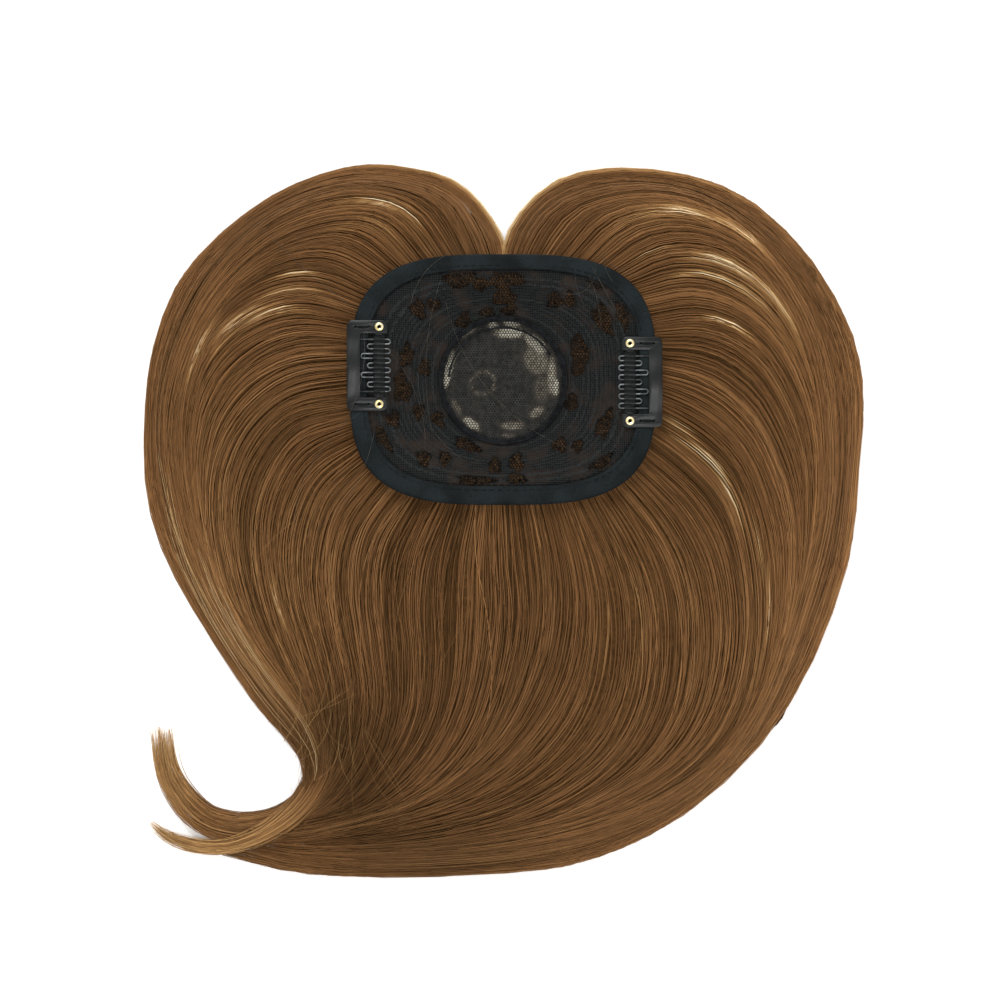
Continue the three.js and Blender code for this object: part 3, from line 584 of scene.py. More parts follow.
def make_stage():
    bpy.ops.mesh.primitive_plane_add(size=6, location=(0, 0, 0))
    floor = bpy.context.object
    floor.name = "pale_floor"
    # White acrylic, lit a little from behind: it stays white under thin locks.
    floor.data.materials.append(finish_material(
        new_material("backlit_white_acrylic"), Base_Color=srgb("#FBFAF8"), Roughness=0.9,
        Emission_Color=srgb("#FFFFFF"), Emission_Strength=0.15))

    camera_data = bpy.data.cameras.new("camera")
    camera_data.sensor_width = 36
    reach = CAMERA_HEIGHT - HAIR_LEVEL * MM
    camera_data.lens = camera_data.sensor_width * reach / (PHOTO_WIDTH * MM)
    camera = link_object("camera", camera_data)
    camera.location = (PHOTO_MIDDLE[0] * MM, PHOTO_MIDDLE[1] * MM, CAMERA_HEIGHT)
    bpy.context.scene.camera = camera


def area_light(name, place, aim, size, power):
    data = bpy.data.lights.new(name, "AREA")
    data.shape = "DISK"
    data.size = size
    data.energy = power
    light = link_object(name, data)
    light.location = place
    direction = Vector(aim) - Vector(place)
    light.rotation_euler = direction.to_track_quat("-Z", "Y").to_euler()


def make_lights():
    # Places and sizes in metres, power in watts.
    area_light("key_light", (-0.25, 0.9, 1.1), (0, 0, 0), 0.5, 11)
    area_light("fill_light", (0.6, -0.7, 1.3), (0, 0, 0), 1.2, 8)
    area_light("front_light", (0, -0.25, 1.4), (0, 0.05, 0), 0.25, 2.5)
    world = bpy.data.worlds.new("studio")
    world.use_nodes = True
    background = world.node_tree.nodes["Background"]
    background.inputs["Color"].default_value = srgb("#FFFFFF")
    background.inputs["Strength"].default_value = 0.75
    bpy.context.scene.world = world
    bpy.context.scene.view_settings.view_transform = "Standard"


# Hair

def select_only(piece):
    bpy.ops.object.select_all(action="DESELECT")
    piece.select_set(True)
    bpy.context.view_layer.objects.active = piece


def apply_modifiers(piece):
    select_only(piece)
    for modifier in list(piece.modifiers):
        bpy.ops.object.modifier_apply(modifier=modifier.name)


def edit(piece, *steps):
    """Runs edit-mode operators on all of a piece; a step is (operator, settings)."""
    select_only(piece)
    bpy.ops.object.mode_set(mode="EDIT")
    bpy.ops.mesh.select_all(action="SELECT")
    for operator, settings in steps:
        operator(**settings)
    bpy.ops.object.mode_set(mode="OBJECT")


def copy_node(node, name):
    """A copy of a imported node, as a start for a softer piece."""
    source = bpy.data.objects[node]
    piece = source.copy()
    piece.data = source.data.copy()
    piece.name = name
    bpy.context.collection.objects.link(piece)
    return piece


def make_underlay():
    """The body of the hair under its loose fibres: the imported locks, softened."""
    underlay = copy_node("hair", "hair_underlay")
    edit(underlay, (bpy.ops.mesh.remove_doubles, {"threshold": 1e-6}))
    remesh = underlay.modifiers.new("remesh", "REMESH")
    remesh.mode = "VOXEL"
    remesh.voxel_size = UNDERLAY_VOXEL * MM
    smooth = underlay.modifiers.new("smooth", "SMOOTH")
    smooth.factor = 0.5
    smooth.iterations = 9
    shrink = underlay.modifiers.new("shrink", "DISPLACE")
    shrink.strength = -UNDERLAY_SINK * MM
    shrink.mid_level = 0.0
    apply_modifiers(underlay)
    bpy.ops.object.shade_smooth()
    return underlay


def trim_hooks(underlay):
    """Cuts the hooked locks off the underlay, as loose fibres alone make them."""
    middle = (np.array([*HOOK_CUT, 0]) + CENTRE) * MM
    edit(underlay, (bpy.ops.mesh.bisect, {
        "plane_co": middle, "plane_no": (-1, -1, 0), "clear_outer": True, "use_fill": True}))


def height_field(underlay, cell=1.0, blur=4):
    """Heights of the underlay on a grid of plan cells, softly blurred."""
    tree = BVHTree.FromObject(underlay, bpy.context.evaluated_depsgraph_get())
    xs = np.arange(-FIELD_REACH, FIELD_REACH + cell, cell)
    ys = np.arange(FIELD_BACK, FIELD_FRONT + cell, cell)
    heights = np.zeros((len(xs), len(ys)))
    down = Vector((0, 0, -1))
    for i, x in enumerate(xs):
        for j, y in enumerate(ys):
            top = Vector(((x + CENTRE[0]) * MM, (y + CENTRE[1]) * MM, 0.1))
            hit = tree.ray_cast(top, down, 0.2)[0]
            if hit is not None:
                heights[i, j] = hit.z / MM
    for _ in range(blur):
        for axis in (0, 1):
            heights = (np.roll(heights, 1, axis) + 2 * heights + np.roll(heights, -1, axis)) / 4
    return {"heights": heights, "x0": xs[0], "y0": ys[0], "cell": cell}


def height_at(field, x, y):
    heights = field["heights"]
    u = np.clip((x - field["x0"]) / field["cell"], 0, heights.shape[0] - 1.001)
    v = np.clip((y - field["y0"]) / field["cell"], 0, heights.shape[1] - 1.001)
    i, j = u.astype(int), v.astype(int)
    fu, fv = u - i, v - j
    near = heights[i, j] * (1 - fv) + heights[i, j + 1] * fv
    far = heights[i + 1, j] * (1 - fv) + heights[i + 1, j + 1] * fv
    return near * (1 - fu) + far * fu


def lift_paths(plan, field, layer, widths):
    """Lays plan paths on the hair's height field at a layer from 0, deep, to 1, on top."""
    x, y = plan[..., 0], plan[..., 1]
    base = height_at(field, x, y)
    for _ in range(3):
        base[:, 1:-1] = (base[:, :-2] + 2 * base[:, 1:-1] + base[:, 2:]) / 4
    z = np.maximum(base + LAYERS_DEPTH * (layer + 0.35), widths)
    under = rim_share(x, y, -0.6) < 1
    z = np.where(under, np.minimum(z, BINDING_FOOT - 0.5), z)
    return raised(plan, z)


def fibre_marks(tone, share, gold_and_painted_highlight):
    """Four numbers for each station of each fibre, which the hair's material reads."""
    # The last two numbers hold a lighter blond tone and, on the fan, painted highlights and rim
    # light.
    return np.stack(np.broadcast_arrays(tone, share, gold_and_painted_highlight, gold_and_painted_highlight), axis=-1)


def lay_fibres(name, paths, radii, marks, material):
    """One piece of hair, with marks for each station of each fibre."""
    piece = tubes(name, paths, radii)
    paint(piece, "fibre", np.repeat(marks.reshape(-1, 4), 3, axis=0))
    return dress(piece, material)


def painted_highlight_at(plan):
    """How strongly painted highlights lighten the hair at each point of its plan paths, from 0 to
    1.4.
    """
    right = sideways(plan)
    total = np.zeros(plan.shape[:-1])
    for x, y, half_length, half_breadth, light in PAINTED_HIGHLIGHTS:
        away = plan - np.array([x, y])
        across = (away * right).sum(axis=-1) / half_breadth
        along = np.hypot(away[..., 0], away[..., 1]) / half_length
        total += light * np.exp(-across ** 2 - along ** 2)
    return np.clip(total, 0, 1.4)


def shade_at(plan):
    """How dark the hair is at each point of its plan paths, from 0 to 1."""
    total = np.zeros(plan.shape[:-1])
    for x, y, radius, depth in SHADES:
        away = plan - np.array([x, y])
        total += depth * np.exp(-(away ** 2).sum(axis=-1) / radius ** 2)
    return np.clip(total, 0, 1)


def fibre_shares(cut, stations, crowding):
    """Stations along each fibre; a crowding over one sets them closer together at the root."""
    even = np.linspace(0, 1, stations)
    return even[None, :] ** crowding * cut[:, None]


def make_fan(field, material):
    last_place = len(FAN) - 1
    edge = FIBRES // 14
    inner = rng.uniform(0, last_place, FIBRES - 2 * edge)
    place = np.sort(np.concatenate([
        inner, 0.5 * rng.uniform(0, 1, edge) ** 1.6,
        last_place - 0.5 * rng.uniform(0, 1, edge) ** 1.6]))
    clump = (place / last_place * CLUMPS + rng.normal(0, 0.6, FIBRES)).astype(int)
    clump = np.clip(clump, 0, CLUMPS - 1)
    clump_place = (clump + 0.5) / CLUMPS * last_place
    cut = np.clip(rng.normal(np.where(place < 4, 0.975, 0.95), 0.035), 0.8, 1.0)
    share = fibre_shares(cut, FIBRE_STATIONS, 1.45)
    gather = GATHERING * share ** 2
    drift = rng.normal(0, 0.12, (FIBRES, 1)) * share
    strayed = rng.uniform(0, 1, (FIBRES, 1)) < STRAYED_SHARE
    drift += strayed * rng.normal(0, 0.6, (FIBRES, 1)) * share
    places = place[:, None] + (clump_place - place)[:, None] * gather + drift
    places = np.abs(places)
    places = last_place - np.abs(last_place - places)
    plan = fan_points(fan_table(ROOT_INSET), places, share)
    swing = wander(FIBRES, FIBRE_STATIONS, (0.7, 1.6, 3.1)) * (0.15 + 0.9 * share)
    clump_swing = wander(CLUMPS, FIBRE_STATIONS, (0.6, 1.3))[clump] * share
    inside = np.clip(np.minimum(places, last_place - places) / 0.3, 0.25, 1)
    outwards = np.clip(1 - (last_place - places) / 0.8, 0, 1) - np.clip(1 - places / 0.8, 0, 1)
    outwards = outwards * np.interp(share, [0, 0.03, 0.12], [0, 0.2 * EDGE_SPREAD, EDGE_SPREAD])
    plan += sideways(plan) * ((swing + clump_swing) * inside + outwards)[..., None]
    layer = rng.uniform(0, 1, (FIBRES, 1)) + 0.12 * wander(FIBRES, FIBRE_STATIONS, (1.1, 2.3))
    taper = np.interp(share / cut[:, None], [0, 0.1, 0.8, 1], [0.75, 1.0, 0.95, 0.4])
    radii = FIBRE_WIDTH / 2 * rng.uniform(0.7, 1.25, (FIBRES, 1)) * taper
    paths = lift_paths(plan, field, layer, radii + 0.1)
    clump_tint = rng.uniform(0, 1, CLUMPS)[clump]
    tint = rng.uniform(0, 1, FIBRES)
    # Painted light: these marks take painted highlights on some fibres more than others, painted
    # rim light along the fan's two edges, and the lighter tips.
    painted_highlight_weight = 1.8 * rng.uniform(0.1, 1, (FIBRES, 1)) ** 2.0
    near_edge = np.clip(1 - np.minimum(places, last_place - places) / 0.2, 0, 1)
    painted_rim_light = near_edge * np.interp(share, [0, 0.012, 0.03, 0.12, 0.25, 0.5, 1],
                                       [0.2, 0.8, 1.3, 0.7, 0.2, 0.05, 0.2])
    tips = np.clip(share - 0.9, 0, 1) * 0.8
    painted_highlight = painted_highlight_at(plan)
    gold_and_painted_highlight = np.clip(painted_highlight_weight * (painted_highlight + tips) + painted_rim_light * rng.uniform(0.3, 1, (FIBRES, 1)), 0, 1)
    tone = (0.6 * tint + 0.4 * clump_tint)[:, None]
    contrast = np.interp(places, [0, 6, 9, 13, 16, last_place], [0.8, 0.9, 1.25, 1.25, 0.7, 0.7])
    contrast += (1 - contrast) * np.clip(share / 0.35, 0, 1)
    # Painted shade darkens the tone, and painted highlights and pools of painted light lighten
    # it.
    tone = np.clip((0.5 + (tone - 0.5) * contrast) * (1 - shade_at(plan)) + 0.35 * painted_highlight, 0, 1)
    marks = fibre_marks(tone, share, gold_and_painted_highlight)
    for name, group in zip(FAN_PIECES, np.array_split(np.arange(FIBRES), len(FAN_PIECES))):
        lay_fibres(name, paths[group], radii[group], marks[group], material)


def make_hooks(field, material):
    """The two thin locks that part from the tip and curl up to the left."""
    all_paths, all_radii, all_marks = [], [], []
    for order, hook in enumerate(HOOKS):
        count = hook["fibres"]
        way = spread_ends(even_way(way_points(hook["by"]), 24))
        cut = np.clip(rng.normal(0.95, 0.035, count), 0.8, 1.0)
        share = fibre_shares(cut, HOOK_STATIONS, 1.0)
        first, weights = spline_weights(share * (len(way) - 3), len(way) - 2)
        plan = sum(weights[..., i, None] * way[first + i] for i in range(4))
        breadth = np.interp(share, np.linspace(0, 1, len(hook["breadth"])), hook["breadth"])
        across = rng.uniform(-0.5, 0.5, (count, 1))
        swing = wander(count, HOOK_STATIONS, (0.6, 1.4)) * (0.25 + 0.5 * share)
        plan += sideways(plan) * (breadth * across + swing)[..., None]
        layer = rng.uniform(0, 1, (count, 1)) + np.interp(
            share, [0, 0.2, 0.4], [-2.4, -0.6, 0.5 * order])
        taper = np.interp(share / cut[:, None], [0, 0.8, 1], [0.9, 0.95, 0.3])
        radii = FIBRE_WIDTH / 2 * rng.uniform(0.85, 1.35, (count, 1)) * taper
        tint = rng.uniform(0, 1, (count, 1))
        # Lighter blond tips: partly the fibre's own tone, partly painted light through the thin
        # ends.
        tip = np.interp(share, [0.3, 0.5, 0.7, 0.9, 1],
                        [0, 0.05 + 0.25 * order, 0.15 + 0.3 * order, 0.5, 0.7])
        gold_and_painted_highlight = tip * rng.uniform(0.3, 1.2, (count, 1))
        tone = np.clip(tint * (1 - shade_at(plan)) + 0.5 * tip, 0, 1)
        all_paths.append(lift_paths(plan, field, layer, radii + 0.1))
        all_radii.append(radii)
        all_marks.append(fibre_marks(tone, share, gold_and_painted_highlight))
    lay_fibres("hair_hooked_locks", np.concatenate(all_paths), np.concatenate(all_radii),
               np.concatenate(all_marks), material)


def stray_runs(group):
    """Loose hairs of one group, as plan paths: along the fan, or any way about the base."""
    runs = []
    table = fan_table(ROOT_INSET)
    t = np.linspace(0, 1, STRAY_STATIONS)
    for _ in range(group["count"]):
        if "share" in group:
            start = rng.uniform(*group["share"])
            place = rng.uniform(*group["place"]) + rng.normal(0, group["drift"]) * t
            share = start + rng.uniform(0.12, 0.35) * t
            place = np.clip(place, 0.3, len(FAN) - 1.3)
            runs.append(fan_points(table, place, np.clip(share, 0, 0.97)))
        else:
            heading = rng.uniform(*group["heading"]) + rng.normal(0, 1.1) * t
            steps = np.stack([np.cos(heading), np.sin(heading)], axis=-1)
            steps *= rng.uniform(*group["length"]) / STRAY_STATIONS
            start = [rng.uniform(*group["x"]), rng.uniform(*group["y"])]
            runs.append(np.array(start) + np.cumsum(steps, axis=0))
    return runs


def stray_levels(plan, field):
    """Heights at which a loose hair lies on the hair, the tape, the lace or a clip."""
    x, y = plan[:, 0], plan[:, 1]
    on_hair = height_at(field, x, y) + 2.0 * LAYERS_DEPTH
    on_lace = np.maximum(lace_level(x, y), CROWN_LEVEL) + 0.5
    level = np.where(rim_share(x, y, BINDING_WIDTH) < 1, on_lace, BINDING_TOP + 0.3)
    level = np.where(rim_share(x, y, -1.0) < 1, level, on_hair)
    half_x, half_y = CLIP_HALF_SIZES
    by_clip = (np.abs(np.abs(x) - CLIP_MIDDLE) < half_x) & (np.abs(y) < half_y)
    level = np.where(by_clip, BINDING_TOP + 2.3, level)
    for _ in range(2):
        level[1:-1] = np.maximum(level[1:-1], (level[:-2] + level[2:]) / 2)
    return level


def make_strays(field, material, shed):
    """Loose hairs that lie across the locks, the binding, the lace and the clips."""
    taper = np.interp(np.linspace(0, 1, STRAY_STATIONS), [0, 0.2, 0.8, 1], [0.6, 1, 1, 0.5])
    for name, over_base in (("hair_strays", False), ("shed_hairs", True)):
        paths, widths, gold_and_painted_highlight = [], [], []
        for group in STRAYS:
            if ("gold_and_painted_highlight" in group) == over_base:
                continue
            for plan in stray_runs(group):
                paths.append(raised(plan, stray_levels(plan, field)))
                widths.append(group["width"])
                gold_and_painted_highlight.append(rng.uniform(*group.get("gold_and_painted_highlight", (0, 0))))
        radii = np.array(widths)[:, None] / 2 * taper
        tone = np.full(radii.shape, 0.5)
        marks = fibre_marks(tone, tone, np.array(gold_and_painted_highlight)[:, None])
        lay_fibres(name, np.array(paths), radii, marks, shed if over_base else material)


def hair_material():
    # Heat-resistant synthetic fibre, drawn and combed: a soft satin shine along its length. A
    # lighter blond tone and painted highlights are mixed into its colour by the fibres' marks.
    material = new_material("combed_brown_fibre")
    marks = add(material, "ShaderNodeAttribute", attribute_name="fibre")
    split = add(material, "ShaderNodeSeparateColor", {"Color": marks.outputs["Color"]})
    colour = ramp(material, split.outputs["Red"], [
        (0.0, "#3F2B15"), (0.25, "#614327"), (0.5, "#7B5634"), (0.75, "#8D643E"),
        (1.0, "#AA8053")])
    # The colour of the painted highlights and painted rim light, mixed in by the fibres' marks.
    shine = ramp(material, marks.outputs["Alpha"], [
        (0.1, "#B98B55"), (0.5, "#E4BB7C"), (0.95, "#FFEDC6")])
    colour_and_painted_highlight = add(material, "ShaderNodeMix", {"Factor": marks.outputs["Alpha"], "A": colour,
                                             "B": shine}, data_type="RGBA")
    return finish_material(material, {"Base Color": colour_and_painted_highlight.outputs[2]}, Roughness=0.40,
                           Specular_IOR_Level=0.25, Specular_Tint=srgb("#FFD9A6"))


def underlay_material():
    # The same fibre in the shade between the loose ones: darker, and matt.
    return mottled("shaded_brown_fibre", 600.0, 3.0, [(0.35, "#452E16"), (0.65, "#5E4122")],
                   Roughness=0.8, Specular_IOR_Level=0.1)


def make_hair():
    material = hair_material()
    underlay = make_underlay()
    field = height_field(underlay)
    trim_hooks(underlay)
    dress(underlay, underlay_material())
    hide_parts("hair")
    make_fan(field, material)
    make_hooks(field, material)
    shed = thread_material("shed_grey_brown_hair", "#4C4840", "#6E685E", 0.5)
    make_strays(field, material, shed)


# Turned and cut pieces

def settle(piece, middle):
    """Scales a mesh drawn in millimetres and moves it to its place about the base."""
    set_mesh_points(piece, (mesh_points(piece) + (np.array(middle) + CENTRE)) * MM)
    select_only(piece)
    bpy.ops.object.shade_smooth_by_angle(angle=math.radians(40))
    return piece


def spun(name, profile, turns, middle):
    """A piece turned from a profile of (radius, height) points about an upright axis."""
    mesh = bpy.data.meshes.new(name)
    mesh.from_pydata([(radius, 0, height) for radius, height in profile],
                     [(i, i + 1) for i in range(len(profile) - 1)], ())
    piece = link_object(name, mesh)
    edit(
        piece,
        (bpy.ops.mesh.spin, {"steps": turns, "angle": FULL_TURN, "center": (0, 0, 0),
                             "axis": (0, 0, 1)}),
        (bpy.ops.mesh.select_all, {"action": "SELECT"}),
        (bpy.ops.mesh.remove_doubles, {"threshold": 1e-3}),
        (bpy.ops.mesh.normals_make_consistent, {"inside": False}),
    )
    return settle(piece, middle)


def arc(middle, radius, start, end, steps):
    """Points of an arc between two angles in degrees."""
    angles = [math.radians(start + (end - start) * i / steps) for i in range(steps + 1)]
    return [(middle[0] + radius * math.cos(a), middle[1] + radius * math.sin(a)) for a in angles]


def plan_plate(name, outlines, wall, edge):
    """A flat plate with holes, cut from outlines, with its edges rounded."""
    curve = bpy.data.curves.new(name, "CURVE")
    curve.dimensions = "2D"
    curve.fill_mode = "BOTH"
    curve.extrude = wall / 2 - edge
    curve.bevel_depth = edge
    curve.bevel_resolution = 1
    for outline in outlines:
        spline = curve.splines.new("POLY")
        spline.points.add(len(outline) - 1)
        for point, (x, y) in zip(spline.points, outline):
            point.co = (x, y, 0, 1)
        spline.use_cyclic_u = True
    select_only(link_object(name, curve))
    bpy.ops.object.convert(target="MESH")
    piece = bpy.context.object
    piece.name = name
    edit(piece, (bpy.ops.mesh.remove_doubles, {"threshold": 1e-4}),
         (bpy.ops.mesh.normals_make_consistent, {"inside": False}))
    return piece


# Base

def dish_level(share):
    rise = (1 - np.cos(np.pi * np.clip(share, 0, 1))) / 2
    return CROWN_LEVEL + (LACE_LEVEL - CROWN_LEVEL) * rise


def lace_share(x, y):
    """Where a plan point lies between the crown, at 0, and the binding, at 1."""
    bearing = np.arctan2(y, x)
    outer = np.linalg.norm(rim_point(bearing, BINDING_WIDTH), axis=-1)
    return (np.hypot(x, y) - LACE_HEM) / (outer - LACE_HEM)


def ridge_lift(share):
    return RIDGE_HEIGHT * sum(np.exp(-((share - at) / RIDGE_BREADTH) ** 2) for at in RIDGE_SHARES)


def lace_level(x, y):
    share = lace_share(x, y)
    return dish_level(share) + ridge_lift(share)


def crown_drop(radius, reach):
    """How far a sagging round sheet lies below its rim at a radius."""
    return CROWN_SAG * np.interp(
        radius / reach, [0, 0.35, 0.6, 0.8, 1.0], [1, 0.97, 0.78, 0.42, 0])


def oval_places(x, y, oval):
    """Plan points as seen from a row of WINDOWS or CREAM_SPOTS, along its own two axes."""
    turn = math.radians(oval[4])
    dx, dy = x - oval[0], y - oval[1]
    return (dx * math.cos(turn) + dy * math.sin(turn),
            dy * math.cos(turn) - dx * math.sin(turn))


def in_window(x, y, grow=0.0):
    """Whether plan points lie in a window of the lace, whose edges are a little ragged."""
    inside = np.zeros(np.shape(x), dtype=bool)
    for number, window in enumerate(WINDOWS):
        across, along = oval_places(x, y, window)
        across = across / (1.2 * window[2] + grow)
        along = along / (1.2 * window[3] + grow)
        angle = np.arctan2(along, across)
        ragged = 1 + 0.13 * np.sin(3 * angle + number) + 0.09 * np.sin(5 * angle + 2.3 * number)
        inside |= np.hypot(across, along) < ragged
    return inside


def binding_material():
    # Woven polyester tape, dyed blue-black: a matt weave with a faint sheen on its turns.
    material = new_material("woven_blue_black_tape")
    weave = object_noise(material, 2600.0, 1.0)
    bands = object_noise(material, 90.0, 2.0)
    mottle = object_noise(material, 2200.0, 3.0)
    mixed = add(material, "ShaderNodeMath",
                {0: bands.outputs["Fac"], 1: mottle.outputs["Fac"]}, operation="MULTIPLY")
    colour = ramp(material, mixed.outputs["Value"], [(0.16, "#0E1213"), (0.34, "#1B2123")])
    bump = add(material, "ShaderNodeBump", {"Height": weave.outputs["Fac"]}, Strength=0.25,
               Distance=0.0002)
    return finish_material(material, {"Base Color": colour, "Normal": bump.outputs["Normal"]},
                           Roughness=0.85, Specular_IOR_Level=0.12)


def thread_material(name, dark, light, roughness):
    # Spun yarn, net thread or dull fine hair: matt, and uneven in tone along its length.
    return mottled(name, 500.0, 2.0, [(0.35, dark), (0.65, light)], Roughness=roughness,
                   Specular_IOR_Level=0.12)


def lace_material():
    # Warp-knitted lace: close black net between the windows, drawn at 0.8 mm so it shows.
    material = new_material("knitted_black_lace")
    place = add(material, "ShaderNodeTexCoord")
    cells = add(material, "ShaderNodeTexVoronoi", {"Vector": place.outputs["Object"]},
                feature="DISTANCE_TO_EDGE", Scale=1250.0, Randomness=0.35)
    thread = ramp(material, cells.outputs["Distance"], [(0.04, "#FFFFFF"), (0.20, "#000000")])
    # Between the threads, the hair behind the net is painted on the sheet in painted shade: dark
    # brown, near black in patches.
    patches = object_noise(material, 130.0, 3.0)
    behind = ramp(material, patches.outputs["Fac"], [(0.48, "#060606"), (0.66, "#2A1C11")])
    mixed = add(material, "ShaderNodeMix", {"Factor": thread, "A": behind}, data_type="RGBA",
                B=srgb("#252727"))
    bump = add(material, "ShaderNodeBump", {"Height": cells.outputs["Distance"]}, Strength=0.6,
               Distance=0.0003, invert=True)
    return finish_material(
        material, {"Base Color": mixed.outputs[2], "Normal": bump.outputs["Normal"]},
        Roughness=0.9, Specular_IOR_Level=0.1)


def patch_material():
    # Soft cream film, dark where the knots of the hair and its glue show through.
    material = new_material("cream_scalp_film")
    marks = add(material, "ShaderNodeAttribute", attribute_name="cream")
    colour = ramp(material, marks.outputs["Fac"], [
        (0.0, "#1C1E1D"), (0.35, "#50473C"), (0.65, "#978D7B"), (1.0, "#DDD6C2")])
    return finish_material(material, {"Base Color": colour}, Roughness=0.7,
                           Specular_IOR_Level=0.2)


def creamy(x, y):
    """How clean the film is at plan points, from 0, dark, to 1, cream."""
    u, v = x - STAIN_MIDDLE[0], y - STAIN_MIDDLE[1]
    grain = (np.sin(2.1 * u + 1.3 * np.sin(1.7 * v)) * np.sin(1.9 * v + 1.1 * np.sin(1.5 * u + 2))
             + 0.6 * np.sin(4.3 * u + 2 * np.sin(0.9 * v)) * np.sin(3.7 * v))
    total = 0.07 + 0.09 * grain
    for spot in CREAM_SPOTS:
        across, along = oval_places(x, y, spot)
        reach = np.hypot(across / spot[2], along / spot[3]) + 0.16 * grain
        clean = spot[5] * (1 + 0.3 * grain * (spot[5] < 0.8))
        total = np.maximum(total, clean * np.clip((1.25 - reach) / 0.5, 0, 1))
    ring = np.abs(np.hypot(u + 7.0, v) - 4.2)
    total = np.maximum(total, 0.5 * np.clip(1 - ring / 1.8, 0, 1) * (0.8 + 0.6 * grain))
    return np.clip(total, 0, 1)


def binding_width(bearing):
    """The tape is folded narrower in front, at +Y, than behind."""
    return BINDING_WIDTH - 0.45 - 0.65 * np.sin(bearing)


def make_binding(material):
    """The folded tape: a hoop whose section is a flattened C over the edge of the lace."""
    top, foot = BINDING_TOP - 0.15, BINDING_FOOT
    over, under = LACE_LEVEL + 0.3, LACE_LEVEL - 1.3
    turn = [(1.2 * (1 - math.cos(a)), (top + foot) / 2 + (top - foot) / 2 * math.sin(a))
            for a in np.linspace(-1.35, 1.35, 9)]
    section = [(BINDING_WIDTH, over), (BINDING_WIDTH, top - 0.25), (BINDING_WIDTH - 0.3, top),
               (5.0, top + 0.05), (3.4, top + 0.15), (1.9, top + 0.1)]
    section += turn[::-1]
    section += [(2.5, foot), (BINDING_WIDTH, foot), (BINDING_WIDTH, under),
                (TAPE_WALL, under), (TAPE_WALL, over)]
    bearings = FULL_TURN * np.arange(TAPE_STEPS) / TAPE_STEPS
    wave = 0.12 * np.sin(5 * bearings + 1) + 0.08 * np.sin(11 * bearings)
    rings = []
    for inset, level in section:
        plan = rim_point(bearings, inset * binding_width(bearings) / BINDING_WIDTH)
        puff = wave * (level > LACE_LEVEL + 0.5)
        rings.append(raised(plan, level + puff))
    points = np.stack(rings, axis=1)
    sides = len(section)
    here = np.arange(TAPE_STEPS)[:, None] * sides + np.arange(sides)
    beside = np.roll(here, -1, axis=1)
    quads = np.stack(
        [here, beside, np.roll(beside, -1, axis=0), np.roll(here, -1, axis=0)], axis=-1)
    piece = array_mesh("binding_tape", points.reshape(-1, 3), [quads.reshape(-1, 4)])
    edit(piece, (bpy.ops.mesh.normals_make_consistent, {"inside": False}))
    select_only(piece)
    bpy.ops.object.shade_smooth_by_angle(angle=math.radians(50))
    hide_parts("binding")
    return dress(piece, material)


def stitch_paths(inwards, length, gap, level, height, points=5):
    """Short arched stitches that run round the base, so far inwards of the tape's edge."""
    fine = np.linspace(0, FULL_TURN, 1441)
    line = rim_point(fine, binding_width(fine) + inwards)
    run = np.concatenate([[0], np.cumsum(np.linalg.norm(np.diff(line, axis=0), axis=1))])
    count = int(run[-1] / (length + gap))
    starts = np.arange(count) * run[-1] / count
    at = starts[:, None] + length * np.linspace(0, 1, points)
    bearing = np.interp(at, run, fine)
    plan = rim_point(bearing, binding_width(bearing) + inwards)
    z = level + height * np.sin(np.pi * np.linspace(0, 1, points))[None, :] * np.ones((count, 1))
    return raised(plan, z)


def make_stitches(material):
    inner = stitch_paths(-1.3, 1.9, 1.0, BINDING_TOP - 0.15, 0.16)
    outer = stitch_paths(0.6, 1.6, 0.8, LACE_LEVEL + 0.05, 0.18)
    paths = np.concatenate([inner, outer])
    piece = tubes("seam_stitches", paths, 0.16, sides=5)
    return dress(piece, material)


def make_lace(material):
    """The lace itself: a sheet that follows the dish and its ridges, with its windows open."""
    bearings = FULL_TURN * np.arange(LACE_ACROSS) / LACE_ACROSS
    shares = np.linspace(0, 1, LACE_ROWS)
    inner = LACE_HEM * np.stack([np.cos(bearings), np.sin(bearings)], axis=-1)
    outer = rim_point(bearings, BINDING_WIDTH)
    plan = inner[None] + (outer - inner)[None] * shares[:, None, None]
    level = (dish_level(shares) + ridge_lift(shares))[:, None] * np.ones(LACE_ACROSS)
    hem = raised(rim_point(bearings, HEM_INSET), np.full(LACE_ACROSS, LACE_LEVEL))
    points = np.concatenate([raised(plan, level), hem[None]])
    quads = ring_quads(len(points), LACE_ACROSS)
    middles = (points[:-1] + points[1:]) / 2
    keep = ~in_window(middles[..., 0], middles[..., 1])
    piece = array_mesh("lace_sheet", points.reshape(-1, 3), [quads[keep]])
    edit(piece, (bpy.ops.mesh.delete_loose, {}))
    wall = piece.modifiers.new("wall", "SOLIDIFY")
    wall.thickness = LACE_WALL * MM
    wall.offset = -1
    apply_modifiers(piece)
    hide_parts("lace_cap")
    return dress(piece, material)


def hexagon_net(pitch, keep):
    """Ends of the threads of a six-sided net: (threads, 2, 2) plan points kept by a test."""
    side = pitch / math.sqrt(3)
    u, v = np.meshgrid(np.arange(-60, 61), np.arange(-60, 61), indexing="ij")
    x = pitch * (u + 0.5 * (v % 2))
    y = 1.5 * side * v
    corners = np.stack([x, y], axis=-1).reshape(-1, 2)
    up = corners + [0, side / 2]
    down = corners - [0, side / 2]
    right = corners + [pitch / 2, side]
    left = corners + [-pitch / 2, side]
    threads = np.concatenate(
        [np.stack(ends, axis=1) for ends in ([down, up], [up, right], [up, left])])
    middle = threads.mean(axis=1)
    return threads[keep(middle[:, 0], middle[:, 1])]


def net_piece(name, threads, level, radius):
    plan = threads + rng.normal(0, 0.03, threads.shape)
    return tubes(name, raised(plan, level(plan[..., 0], plan[..., 1])), radius)


